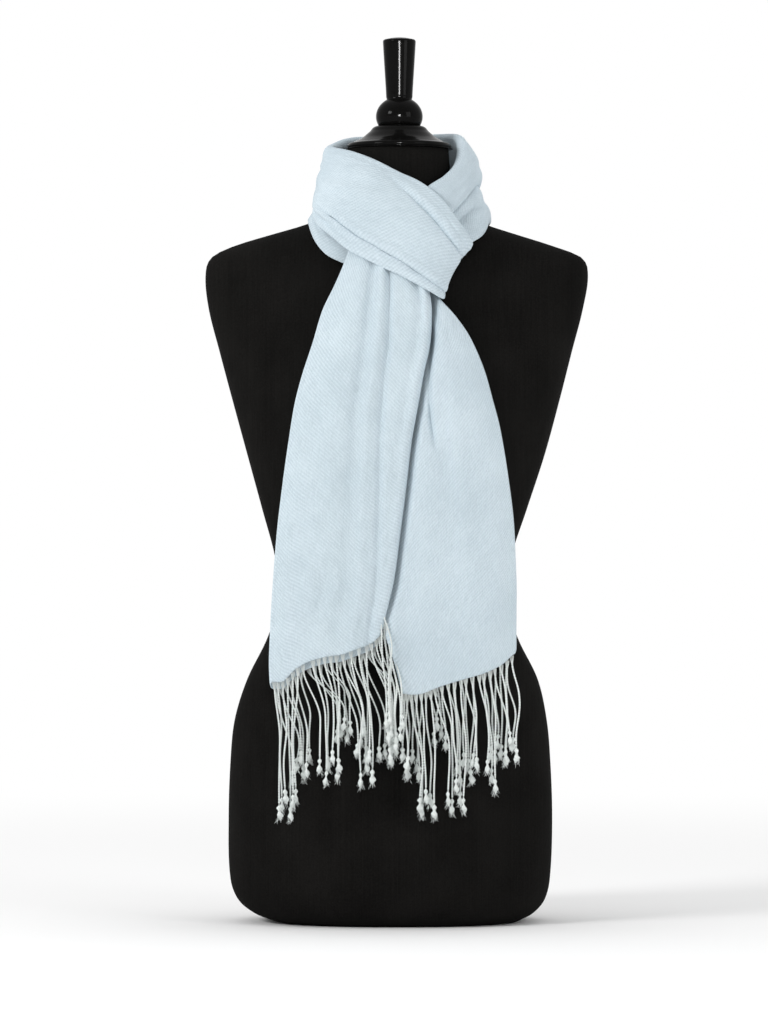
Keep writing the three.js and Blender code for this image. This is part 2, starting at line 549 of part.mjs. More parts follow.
// Roots and tips of all strands of one leaf.
function strandEnds(tail, back, bunches) {
  const side = Math.sign(tail.rows[0].outer);
  return bunches.flatMap((bunch) =>
    Array.from({ length: bunch.strands }, (_, k) => {
      const share = bunch.strands > 1 ? k / (bunch.strands - 1) : 0.5;
      const across = THREE.MathUtils.lerp(bunch.from, bunch.to, share);
      const inStrip = THREE.MathUtils.clamp(across * back.width, 0.012, back.width - 0.012);
      const root = leafPoint(tail, inStrip, 1, back);
      root.z -= SEAM_GAP + STRIP_HEIGHT / 2;
      const fromMiddle = (bunch.strands - 1) / 2 - k;
      const tipY = -bunchDepth(back) + (k % 2 ? STAGGER.depth : -STAGGER.depth);
      const tipZ = bunch.tipZ + STAGGER.drop * (k % STAGGER.count);
      return { root, tip: new THREE.Vector3(bunch.x + side * fromMiddle * STRAND_STEP, tipY, tipZ), k };
    }),
  );
}

const bunchDepth = (back) => back.hang;

function manifoldOf(geometry) {
  const bare = new THREE.BufferGeometry();
  bare.setAttribute("position", geometry.getAttribute("position"));
  bare.setIndex(geometry.index);
  const merged = mergeVertices(bare, 1e-3);
  return new wasm.Manifold(
    new wasm.Mesh({
      numProp: 3,
      vertProperties: merged.attributes.position.array,
      triVerts: new Uint32Array(merged.index.array),
    }),
  );
}

function geometryOf(solid) {
  const mesh = solid.getMesh();
  return indexed(Array.from(mesh.vertProperties), Array.from(mesh.triVerts));
}

// A strip just below the hem with the strands of one leaf rooted in it.
function fringeGeometry(tail, back, bunches) {
  const steps = back.across;
  const strip = [0, 1].map((edge) =>
    Array.from({ length: steps + 1 }, (_, j) => {
      const point = leafPoint(tail, (back.width * j) / steps, 1, back);
      point.z -= SEAM_GAP + edge * STRIP_HEIGHT;
      return point;
    }),
  );
  const ordered = tail.rows[0].outer < 0 ? strip.map((line) => [...line].reverse()) : strip;
  let solid = manifoldOf(wallGeometry(ordered, CLOTH));
  for (const { root, tip, k } of strandEnds(tail, back, bunches)) {
    solid = solid.add(manifoldOf(strandGeometry(root, tip, k)));
  }
  return geometryOf(solid);
}

// Assembly

const material = (color, roughness) => new THREE.MeshStandardMaterial({ color, roughness, metalness: 0 });
const shawl = new THREE.Group();

function addPiece(name, geometry, color, roughness, position = [0, 0, 0]) {
  const mesh = new THREE.Mesh(geometry, material(color, roughness));
  mesh.name = name;
  mesh.position.set(...position);
  shawl.add(mesh);
}

addPiece("form_torso", torsoGeometry(), COLOURS.jersey, 0.9);
const capZ = NECK_Z + CAP_GAP;
const capPlace = [CAP_CENTRE.x, CAP_CENTRE.y, capZ];
addPiece("neck_cap", capGeometry().rotateX(Math.PI / 2), COLOURS.lacquer, 0.15, capPlace);
const finialZ = capZ + CAP[CAP.length - 1].z + CAP_GAP;
const finialPlace = [CAP_CENTRE.x, CAP_CENTRE.y, finialZ];
addPiece("finial", finialGeometry().rotateX(Math.PI / 2), COLOURS.lacquer, 0.12, finialPlace);

const upperGrid = wrapGrid(UPPER_WRAP, UPPER_STEPS, UPPER_ACROSS, bandCrease);
addPiece("wrap_upper", wallGeometry(upperGrid, BAND_CLOTH, bandLedge), COLOURS.cloth, 0.85);
const lowerGrid = wrapGrid(LOWER_WRAP, 32, LOWER_ACROSS, () => 0);
addPiece("wrap_lower", wallGeometry(lowerGrid, BAND_CLOTH), COLOURS.cloth, 0.85);

addPiece("tail_left", wallGeometry(tailGrid(LEFT), CLOTH), COLOURS.cloth, 0.85);
const rightGrid = tailGrid(RIGHT).map((line) => line.reverse());
addPiece("tail_right", wallGeometry(rightGrid, CLOTH), COLOURS.cloth, 0.85);

const leaf = (tail, hang) => ({ ...tail.back, hang });
const FRINGES = [
  { name: "fringe_left_front", tail: LEFT, back: { ...FRONT, hang: 134 }, bunches: LEFT_FRONT_BUNCHES },
  { name: "fringe_left_back", tail: LEFT, back: leaf(LEFT, 126), bunches: LEFT_BACK_BUNCHES },
  { name: "fringe_right_front", tail: RIGHT, back: { ...FRONT, hang: 133 }, bunches: RIGHT_FRONT_BUNCHES },
  { name: "fringe_right_back", tail: RIGHT, back: leaf(RIGHT, 118), bunches: RIGHT_BACK_BUNCHES },
];
for (const { name, tail, back, bunches } of FRINGES) {
  addPiece(name, fringeGeometry(tail, back, bunches), COLOURS.fringe, 0.9);
}

export default shawl;
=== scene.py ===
"""Looks of a pashmina shawl looped round the neck of a dress form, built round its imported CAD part."""

import logging
import math
from collections.abc import Sequence
from dataclasses import dataclass, field
from enum import Enum

import bmesh
import bpy
import numpy as np
import numpy.typing as npt
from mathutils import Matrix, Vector


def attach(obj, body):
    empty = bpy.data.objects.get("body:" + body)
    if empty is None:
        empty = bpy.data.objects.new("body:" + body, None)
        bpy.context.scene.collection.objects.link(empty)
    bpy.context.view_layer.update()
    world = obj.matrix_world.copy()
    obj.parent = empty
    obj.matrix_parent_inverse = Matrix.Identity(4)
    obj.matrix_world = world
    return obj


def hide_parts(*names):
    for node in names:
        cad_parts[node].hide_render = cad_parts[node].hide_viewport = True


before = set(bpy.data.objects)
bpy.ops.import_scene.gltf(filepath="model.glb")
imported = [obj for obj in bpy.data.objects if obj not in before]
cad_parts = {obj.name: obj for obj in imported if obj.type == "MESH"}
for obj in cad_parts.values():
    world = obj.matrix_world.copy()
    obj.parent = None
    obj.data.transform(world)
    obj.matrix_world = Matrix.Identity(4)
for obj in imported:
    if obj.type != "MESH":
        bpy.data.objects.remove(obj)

Array = npt.NDArray[np.float64]
Indices = npt.NDArray[np.int64]
Colour = tuple[float, float, float]

MM = 0.001
log = logging.getLogger("shawl")


class Slot(Enum):
    """The record's material slots."""

    CLOTH = "cloth"
    FRINGE = "fringe"
    JERSEY = "jersey"
    LACQUER = "lacquer"


class Face(Enum):
    """The two leaves of a folded tail."""

    FRONT = "front"
    BACK = "back"


# Curves and surfaces


class Table:
    """Rows of named columns, each column read as a smooth curve through its rows."""

    def __init__(self, columns: str, *rows: tuple[float, ...]) -> None:
        """Keep the rows column by column.

        Args:
            columns: the column names, parted by spaces.
            rows: one tuple for each row, in millimetres and shares.
        """
        self.values = {name: np.array(cells, float) for name, cells in zip(columns.split(), zip(*rows))}

    def along(self, column: str, share: Array) -> Array:
        """Read a column as a Catmull-Rom curve through evenly spaced rows.

        Args:
            column: the column to read.
            share: places along the rows, 0 at the first and 1 at the last.

        Returns:
            The column's value at each place.
        """
        cells = self.values[column]
        last = len(cells) - 1
        at = np.clip(share, 0, 1) * last
        i = np.minimum(at.astype(int), last - 1)
        t = at - i
        a, b, c, d = (cells[np.clip(i + step, 0, last)] for step in (-1, 0, 1, 2))
        cubic = 3 * b - a - 3 * c + d
        return 0.5 * (2 * b + (c - a) * t + (2 * a - 5 * b + 4 * c - d) * t**2 + cubic * t**3)

    def by(self, key: str, column: str, at: Array) -> Array:
        """Read a column against another one, by cubic pieces with the slopes between a row's neighbours.

        Args:
            key: the column that rises or falls from row to row.
            column: the column to read.
            at: values of the key column.

        Returns:
            The column's value at each key value.
        """
        order = np.argsort(self.values[key])
        keys, cells = self.values[key][order], self.values[column][order]
        count = len(keys)
        before = np.maximum(np.arange(count) - 1, 0)
        after = np.minimum(np.arange(count) + 1, count - 1)
        slopes = (cells[after] - cells[before]) / (keys[after] - keys[before])
        x = np.clip(at, keys[0], keys[-1])
        i = np.clip(np.searchsorted(keys, x, side="right") - 1, 0, count - 2)
        span = keys[i + 1] - keys[i]
        t = (x - keys[i]) / span
        rise = 3 * t**2 - 2 * t**3
        start = (t**3 - 2 * t**2 + t) * span * slopes[i]
        end = (t**3 - t**2) * span * slopes[i + 1]
        return (1 - rise) * cells[i] + start + rise * cells[i + 1] + end


def smoothstep(x: Array, low: float, high: float) -> Array:
    """Rise smoothly from 0 at low to 1 at high, as 3t squared less 2t cubed."""
    t = np.clip((x - low) / (high - low), 0, 1)
    return t * t * (3 - 2 * t)


def bell(x: Array) -> Array:
    """Fall from 1 at 0 towards 0 on both sides, as e to the minus x squared."""
    return np.exp(-x * x)


def unit(vectors: Array) -> Array:
    """Scale vectors on the last axis to length 1."""
    return vectors / np.maximum(np.linalg.norm(vectors, axis=-1, keepdims=True), 1e-12)


def grid_normals(grid: Array, outward: Array) -> Array:
    """Give the normals of a grid of points, as the cross product of its two differences.

    Args:
        grid: points, rows by columns by 3.
        outward: a direction that the normals should point along, on the whole.

    Returns:
        Unit normals of the grid's shape.
    """
    normals = unit(np.cross(np.gradient(grid, axis=0), np.gradient(grid, axis=1)))
    return normals if np.sum(normals * outward) > 0 else -normals


def grid_lengths(grid: Array) -> Array:
    """Measure a grid along its rows and columns, as running sums of the distances between neighbours.

    Args:
        grid: points, rows by columns by 3.

    Returns:
        Rows by columns by 2: the distance along the columns and along the rows, from the first ones.
    """
    across = np.linalg.norm(np.diff(grid, axis=1), axis=2).mean(axis=0)
    down = np.linalg.norm(np.diff(grid, axis=0), axis=2).mean(axis=1)
    u = np.concatenate([[0], np.cumsum(across)])
    v = np.concatenate([[0], np.cumsum(down)])
    return np.stack(np.broadcast_arrays(u[None, :], v[:, None]), axis=2)


# The roll beside a crease: how far it lies from the valley and how wide it is, in widths of the valley
ROLL_PLACE = 1.9
ROLL_WIDTH = 1.3


@dataclass(frozen=True)
class Crease:
    """A fold line on a stretch of cloth, which runs through three places and fades at its ends."""

    along: tuple[float, float, float]
    across: tuple[float, float, float]
    depth: float
    half_width: float
    ridge: float = 0.0
    fade_in: float = 0.3
    fade_out: float = 0.45

    def relief(self, along: Array, across: Array, breadth: Array) -> Array:
        """Give the crease's height over the cloth: a valley with a wider roll beside it.

        Both are bells. Its line is the parabola through its three places, and its strength rises and falls
        smoothly at its ends.

        Args:
            along: share along the cloth at each point.
            across: share across the cloth at each point.
            breadth: width of the cloth at each point, in metres.

        Returns:
            Height in metres, below 0 in the valley.
        """
        a, b, c = self.along
        p, q, r = self.across
        line = (
            p * (along - b) * (along - c) / ((a - b) * (a - c))
            + q * (along - a) * (along - c) / ((b - a) * (b - c))
            + r * (along - a) * (along - b) / ((c - a) * (c - b))
        )
        t = (along - a) / (c - a)
        strength = smoothstep(t, 0, self.fade_in) * smoothstep(1 - t, 0, self.fade_out)
        off = (across - line) * breadth / (self.half_width * MM)
        profile = self.ridge * bell((off - ROLL_PLACE) / ROLL_WIDTH) - bell(off)
        return self.depth * MM * strength * profile


def relief_of(creases: Sequence[Crease], along: Array, across: Array, breadth: Array) -> Array:
    """Add up the reliefs of several creases.

    Args:
        creases: the creases.
        along: share along the cloth at each point.
        across: share across the cloth at each point.
        breadth: width of the cloth at each point, in metres.

    Returns:
        Height in metres at each point.
    """
    total = np.zeros(np.broadcast_shapes(along.shape, across.shape, breadth.shape))
    for crease in creases:
        total = total + crease.relief(along, across, breadth)
    return total


RIPPLE_WAVES = 8
RIPPLE_LENGTHS = (0.025, 0.09)
RIPPLE_STRETCH = (1, 0.8, 0.45)
RIPPLE_SUM = 2.5


def ripples(grid: Array, size: float, seed: int) -> Array:
    """Give soft unevenness of the cloth: eight sine waves in random directions, 25 to 90 mm long, added up.

    Args:
        grid: points of the cloth in metres, rows by columns by 3.
        size: rough height of the unevenness, in metres.
        seed: seed of the random directions.

    Returns:
        Height at each point.
    """
    rng = np.random.default_rng(seed)
    direction = unit(rng.normal(0, 1, (RIPPLE_WAVES, 3)) * RIPPLE_STRETCH)
    wave = direction * (2 * np.pi / rng.uniform(*RIPPLE_LENGTHS, (RIPPLE_WAVES, 1)))
    return size * np.sin(grid @ wave.T + rng.uniform(0, 6.28, RIPPLE_WAVES)).sum(axis=-1) / RIPPLE_SUM


# Meshes


def ring_quads(rows: int, columns: int) -> Indices:
    """List the four corners of each face between rings of points that close on themselves.

    Args:
        rows: number of rings.
        columns: points in each ring.

    Returns:
        Faces by 4.
    """
    i, j = np.meshgrid(np.arange(rows - 1), np.arange(columns), indexing="ij")
    start, following = i * columns + j, i * columns + (j + 1) % columns
    return np.stack([start, following, following + columns, start + columns], axis=-1).reshape(-1, 4)


def mesh_object(name: str, points: Array, quads: Indices, uv: Array | None = None) -> bpy.types.Object:
    """Make a smooth closed mesh whose faces point outwards, with doubles at its poles merged.

    The faces are turned round if the volume under them, the sum of each corner's triple product, is negative.

    Args:
        name: name of the piece.
        points: vertices by 3, in metres.
        quads: faces by 4.
        uv: vertices by 2, or nothing.

    Returns:
        The piece, at the origin.
    """
    a, b, c, d = (points[quads[:, k]] for k in range(4))
    volume = np.sum(np.cross(a, b) * c) + np.sum(np.cross(a, c) * d)
    if volume < 0:
        quads = quads[:, ::-1]
    mesh = bpy.data.meshes.new(name)
    mesh.vertices.add(len(points))
    mesh.vertices.foreach_set("co", np.ascontiguousarray(points, np.float32).ravel())
    mesh.loops.add(quads.size)
    mesh.loops.foreach_set("vertex_index", np.ascontiguousarray(quads, np.int32).ravel())
    mesh.polygons.add(len(quads))
    mesh.polygons.foreach_set("loop_start", np.arange(0, quads.size, 4, dtype=np.int32))
    mesh.polygons.foreach_set("loop_total", np.full(len(quads), 4, np.int32))
    mesh.update(calc_edges=True)
    if uv is not None:
        layer = mesh.uv_layers.new(name="cloth")
        layer.data.foreach_set("uv", np.ascontiguousarray(uv[quads.ravel()], np.float32).ravel())
    clean = bmesh.new()
    clean.from_mesh(mesh)
    bmesh.ops.remove_doubles(clean, verts=clean.verts, dist=1e-7)
    clean.to_mesh(mesh)
    clean.free()
    mesh.polygons.foreach_set("use_smooth", np.ones(len(mesh.polygons), bool))
    mesh.update()
    piece = bpy.data.objects.new(name, mesh)
    bpy.context.scene.collection.objects.link(piece)
    return piece


def place(piece: bpy.types.Object, slot: Slot, finishes: "Finishes", *nodes: str) -> None:
    """Give a piece its finish, its body and the CAD nodes it stands for.

    Args:
        piece: the piece.
        slot: the material slot it belongs to.
        finishes: the materials.
        nodes: CAD nodes that it replaces.
    """
    piece.data.materials.clear()
    piece.data.materials.append(finishes.made[slot])
    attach(piece, "root")
    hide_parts(*nodes)
    log.info("%s: %d faces", piece.name, len(piece.data.polygons))


def edge_roll(edge: Array, inside: Array, normal: Array, outer: Array, inner: Array, steps: int) -> Array:
    """Round an edge of a cloth wall, as half a circle from its outer face to its inner face.

    Args:
        edge: points of the edge, rows by 3.
        inside: the points next to the edge on the cloth.
        normal: normals of the cloth at the edge.
        outer: height of the outer face over the edge, rows by 1.
        inner: depth of the inner face under it, rows by 1.
        steps: points on the half circle, without its ends.

    Returns:
        Rows by steps by 3.
    """
    beyond = edge - inside
    beyond = unit(beyond - np.sum(beyond * normal, axis=1, keepdims=True) * normal)
    turn = np.linspace(0, np.pi, steps + 2)[1:-1][None, :, None]
    radius, middle = (outer + inner)[:, None] / 2, (outer - inner)[:, None] / 2
    lift = normal[:, None] * (middle + radius * np.cos(turn))
    return edge[:, None] + lift + beyond[:, None] * radius * np.sin(turn)


# Points on the rounding of a cloth wall's edge
ROLL_POINTS = 6


def cloth_wall(name: str, middle: Array, outward: Array, outer: Array, inner: Array) -> bpy.types.Object:
    """Make a closed wall of cloth round its middle surface: two faces, rounded long edges and closed ends.

    Args:
        name: name of the piece.
        middle: points of the middle surface, rows by columns by 3.
        outward: direction that the outer face looks in, on the whole.
        outer: height of the outer face over the middle, rows by columns.
        inner: depth of the inner face under it, rows by columns.

    Returns:
        The piece.
    """
    normals = grid_normals(middle, outward)
    outer, inner = outer[..., None], inner[..., None]
    lengths = grid_lengths(middle)
    sides = (middle + normals * outer, (middle - normals * inner)[:, ::-1])
    rolls = [
        edge_roll(middle[:, j], middle[:, k], normals[:, j], outer[:, j], inner[:, j], ROLL_POINTS)
        for j, k in ((-1, -2), (0, 1))
    ]
    ring = np.concatenate([sides[0], rolls[0], sides[1], rolls[1][:, ::-1]], axis=1)
    rows, columns = middle.shape[:2]
    far, near = (np.repeat(edge, ROLL_POINTS, axis=1) for edge in (lengths[:, -1:], lengths[:, :1]))
    uv = np.concatenate([lengths, far, lengths[:, ::-1], near], axis=1)
    around = ring.shape[1]
    half = ROLL_POINTS // 2
    order = np.roll(np.arange(around), half)
    upper, lower = order[: columns + ROLL_POINTS], order[columns + ROLL_POINTS :][::-1]
    cap = np.stack([upper[:-1], upper[1:], lower[1:], lower[:-1]], axis=1)
    quads = np.concatenate([ring_quads(rows, around), cap[:, ::-1], cap + (rows - 1) * around])
    return mesh_object(name, ring.reshape(-1, 3), quads, uv.reshape(-1, 2))


def lathe(name: str, profile: Array, centre: Array, segments: int) -> bpy.types.Object:
    """Turn a profile round an upright axis.

    Args:
        name: name of the piece.
        profile: radius and height of each point, from pole to pole.
        centre: the axis's foot.
        segments: points round each ring.

    Returns:
        The piece.
    """
    turn = np.linspace(0, 2 * np.pi, segments, endpoint=False)[None, :]
    radius, height = profile[:, :1], profile[:, 1:]
    rings = np.stack(np.broadcast_arrays(radius * np.cos(turn), radius * np.sin(turn), height), axis=2)
    return mesh_object(name, (rings + centre).reshape(-1, 3), ring_quads(len(profile), segments))


def smooth_profile(points: Sequence[tuple[float, float]], steps: int) -> Array:
    """Carry a curve through profile points, with corners kept where a point is given twice.

    Args:
        points: radius and height of each point, in millimetres.
        steps: points on the curve from one point to the next.

    Returns:
        Points by 2, in metres.
    """
    table = Table("radius height", *points)
    share = np.linspace(0, 1, (len(points) - 1) * steps + 1)
    curve = np.stack([np.maximum(table.along("radius", share), 0), table.along("height", share)], axis=1)
    curve[[0, -1], 0] = 0
    return curve * MM


# Finishes


class Nodes:
    """Short ways to add and join the nodes of one tree."""

    def __init__(self, tree: bpy.types.NodeTree) -> None:
        """Keep the tree and clear it."""
        self.tree = tree
        tree.nodes.clear()

    def add(self, kind: str, **settings: object) -> bpy.types.Node:
        """Add a node and set its properties and, by number or name, its unlinked inputs.

        Args:
            kind: the node's type.
            settings: properties of the node; inputs is a dictionary of values or sockets to link.

        Returns:
            The node.
        """
        node = self.tree.nodes.new(kind)
        inputs = settings.pop("inputs", {})
        for key, value in settings.items():
            setattr(node, key, value)
        for key, value in inputs.items():
            if isinstance(value, bpy.types.NodeSocket):
                self.tree.links.new(value, node.inputs[key])
            else:
                node.inputs[key].default_value = value
        return node

    def maths(self, operation: str, *values: object) -> bpy.types.NodeSocket:
        """Add a Math node and give its result."""
        node = self.add("ShaderNodeMath", operation=operation, inputs=dict(enumerate(values)))
        return node.outputs[0]


def new_group(name: str, numbers: dict[str, float], outputs: tuple[str, ...]) -> bpy.types.NodeTree:
    """Make an empty shader node group that takes a place and some numbers and gives numbers.

    Args:
        name: name of the group.
        numbers: name and default of each number taken in, beside the place, which is called Vector.
        outputs: name of each number given out.

    Returns:
        The group's node tree.
    """
    group = bpy.data.node_groups.new(name, "ShaderNodeTree")
    group.interface.new_socket("Vector", in_out="INPUT", socket_type="NodeSocketVector")
    for key, default in numbers.items():
        socket = group.interface.new_socket(key, in_out="INPUT", socket_type="NodeSocketFloat")
        socket.default_value = default
    for key in outputs:
        group.interface.new_socket(key, in_out="OUTPUT", socket_type="NodeSocketFloat")
    return group


def twill_group() -> bpy.types.NodeTree:
    """Make the weave: slanting ribs one thread wide, broken up by the threads that cross them.

    The height is the sine of the two thread directions added, with a weaker sine of the crossing threads
    and a noise stretched along the warp for the slubs.
    """
    group = new_group("twill weave", {"Thread": 0.001, "Slubs": 0.4, "Weave": 0.3}, ("Height",))
    nodes = Nodes(group)
    source = nodes.add("NodeGroupInput").outputs
    parts = nodes.add("ShaderNodeSeparateXYZ", inputs={0: source["Vector"]}).outputs
    turns = nodes.maths("DIVIDE", 2 * math.pi, source["Thread"])
    u, v = (nodes.maths("MULTIPLY", parts[k], turns) for k in range(2))
    rib = nodes.maths("SINE", nodes.maths("MULTIPLY", nodes.maths("ADD", u, v), 0.5))
    cross = nodes.maths("SINE", nodes.maths("SUBTRACT", u, nodes.maths("MULTIPLY", v, 0.31)))
    weave = nodes.maths("ADD", rib, nodes.maths("MULTIPLY", cross, 0.35))
    place_on = nodes.add("ShaderNodeMapping", inputs={"Vector": source["Vector"], "Scale": (900, 70, 1)})
    settings = {"Vector": place_on.outputs[0], "Scale": 1.0, "Detail": 2.0}
    noise = nodes.add("ShaderNodeTexNoise", inputs=settings)
    slub = nodes.maths("MULTIPLY", nodes.maths("SUBTRACT", noise.outputs[0], 0.5), source["Slubs"])
    height = nodes.maths("ADD", nodes.maths("MULTIPLY", weave, source["Weave"]), slub)
    nodes.add("NodeGroupOutput", inputs={"Height": height})
    return group


def mottle_group() -> bpy.types.NodeTree:
    """Make slow colour changes: the mean of two noises, as large as a palm and as fine as a thread."""
    group = new_group("mottle", {"Coarse": 18, "Fine": 620}, ("Value",))
    nodes = Nodes(group)
    source = nodes.add("NodeGroupInput").outputs
    coarse, fine = (
        nodes.add("ShaderNodeTexNoise", inputs={"Vector": source["Vector"], "Scale": source[key]}).outputs[0]
        for key in ("Coarse", "Fine")
    )
    value = nodes.maths("MULTIPLY", nodes.maths("ADD", coarse, fine), 0.5)
    nodes.add("NodeGroupOutput", inputs={"Value": value})
    return group


@dataclass(frozen=True)
class WovenFinish:
    """A woven or knitted cloth with a soft sheen."""

    name: str
    pale: Colour
    deep: Colour
    thread: float
    relief: float
    sheen: float
    slubs: float = 0.4
    roughness: float = 0.9
    specular: float = 0.15
    weave: float = 0.3
    weave_tint: float = 0.42
    tone_span: tuple[float, float] = (0.3, 0.72)
    bump: float = 0.6
    sheen_roughness: float = 0.45
    on_surface: bool = True

    def material(self, twill: bpy.types.NodeTree, mottle: bpy.types.NodeTree) -> bpy.types.Material:
        """Make the material.

        Args:
            twill: the weave group.
            mottle: the mottle group.

        Returns:
            The material.
        """
        material = bpy.data.materials.new(self.name)
        material.use_nodes = True
        nodes = Nodes(material.node_tree)
        where = nodes.add("ShaderNodeTexCoord")
        pattern = where.outputs["UV" if self.on_surface else "Object"]
        sizes = {"Vector": pattern, "Thread": self.thread, "Slubs": self.slubs, "Weave": self.weave}
        height = nodes.add("ShaderNodeGroup", node_tree=twill, inputs=sizes).outputs["Height"]
        tone = nodes.add("ShaderNodeGroup", node_tree=mottle, inputs={"Vector": where.outputs["Object"]})
        shade = nodes.maths("ADD", nodes.maths("MULTIPLY", height, self.weave_tint), tone.outputs["Value"])
        low, high = self.tone_span
        span = nodes.add("ShaderNodeMapRange", inputs={0: shade, 1: low, 2: high})
        colour = nodes.add(
            "ShaderNodeMix",
            data_type="RGBA",
            inputs={0: span.outputs[0], 6: (*self.deep, 1), 7: (*self.pale, 1)},
        )
        raised = {"Distance": self.relief, "Strength": self.bump, "Height": height}
        bump = nodes.add("ShaderNodeBump", inputs=raised)
        shader = nodes.add(
            "ShaderNodeBsdfPrincipled",
            inputs={
                "Base Color": colour.outputs[2],
                "Roughness": self.roughness,
                "Specular IOR Level": self.specular,
                "Sheen Weight": self.sheen,
                "Sheen Roughness": self.sheen_roughness,
                "Sheen Tint": (*self.pale, 1),
                "Normal": bump.outputs[0],
            },
        )
        nodes.add("ShaderNodeOutputMaterial", inputs={0: shader.outputs[0]})
        return material


@dataclass(frozen=True)
class LacquerFinish:
    """Black gloss lacquer on turned wood, with a faint unevenness in the coat."""

    name: str = "black lacquer"
    colour: Colour = (0.0022, 0.0022, 0.0022)
    worn: Colour = (0.006, 0.0058, 0.0055)
    roughness: float = 0.16
    spread: tuple[float, float] = (0.7, 1.3)
    specular: float = 0.02
    coat: float = 0.06
    coat_roughness: float = 0.05
    patches: float = 60.0
    relief: float = 0.0002
    bump: float = 0.15

    def material(self, mottle: bpy.types.NodeTree) -> bpy.types.Material:
        """Make the material.

        Args:
            mottle: the mottle group.

        Returns:
            The material.
        """
        material = bpy.data.materials.new(self.name)
        material.use_nodes = True
        nodes = Nodes(material.node_tree)
        where = nodes.add("ShaderNodeTexCoord")
        sizes = {"Vector": where.outputs["Object"], "Coarse": self.patches}
        tone = nodes.add("ShaderNodeGroup", node_tree=mottle, inputs=sizes).outputs["Value"]
        colour = nodes.add(
            "ShaderNodeMix",
            data_type="RGBA",
            inputs={0: tone, 6: (*self.colour, 1), 7: (*self.worn, 1)},
        )
        low, high = self.spread
        span = {0: tone, 3: self.roughness * low, 4: self.roughness * high}
        rough = nodes.add("ShaderNodeMapRange", inputs=span)
        raised = {"Distance": self.relief, "Strength": self.bump, "Height": tone}
        bump = nodes.add("ShaderNodeBump", inputs=raised)
        shader = nodes.add(
            "ShaderNodeBsdfPrincipled",
            inputs={
                "Base Color": colour.outputs[2],
                "Roughness": rough.outputs[0],
                "Specular IOR Level": self.specular,
                "Coat Weight": self.coat,
                "Coat Roughness": self.coat_roughness,
                "Normal": bump.outputs[0],
            },
        )
        nodes.add("ShaderNodeOutputMaterial", inputs={0: shader.outputs[0]})
        return material


@dataclass
class Finishes:
    """All the materials of the object, made once."""

    shawl: WovenFinish = WovenFinish(
        "pale blue pashmina",
        pale=(0.605, 0.695, 0.75),
        deep=(0.475, 0.565, 0.62),
        thread=0.0018,
        relief=0.0006,
        sheen=0.1,
        slubs=1.2,
    )
    yarn: WovenFinish = WovenFinish(
        "twisted warp yarn",
        pale=(0.80, 0.84, 0.82),
        deep=(0.66, 0.70, 0.69),
        thread=0.0007,
        relief=0.0002,
        sheen=0.3,
        on_surface=False,
    )
    jersey: WovenFinish = WovenFinish(
        "black jersey",
        pale=(0.0095, 0.009, 0.0083),
        deep=(0.0035, 0.0033, 0.003),
        thread=0.004,
        relief=0.0002,
        sheen=0,
        slubs=0.8,
        roughness=1,
        specular=0.04,
        weave=0,
        on_surface=False,
    )
    lacquer: LacquerFinish = LacquerFinish()
    made: dict[Slot, bpy.types.Material] = field(default_factory=dict)

    def build(self) -> None:
        """Make the shared groups and one material for each slot."""
        twill, mottle = twill_group(), mottle_group()
        self.made = {
            Slot.CLOTH: self.shawl.material(twill, mottle),
            Slot.FRINGE: self.yarn.material(twill, mottle),
            Slot.JERSEY: self.jersey.material(twill, mottle),
            Slot.LACQUER: self.lacquer.material(mottle),
        }


# The dress form


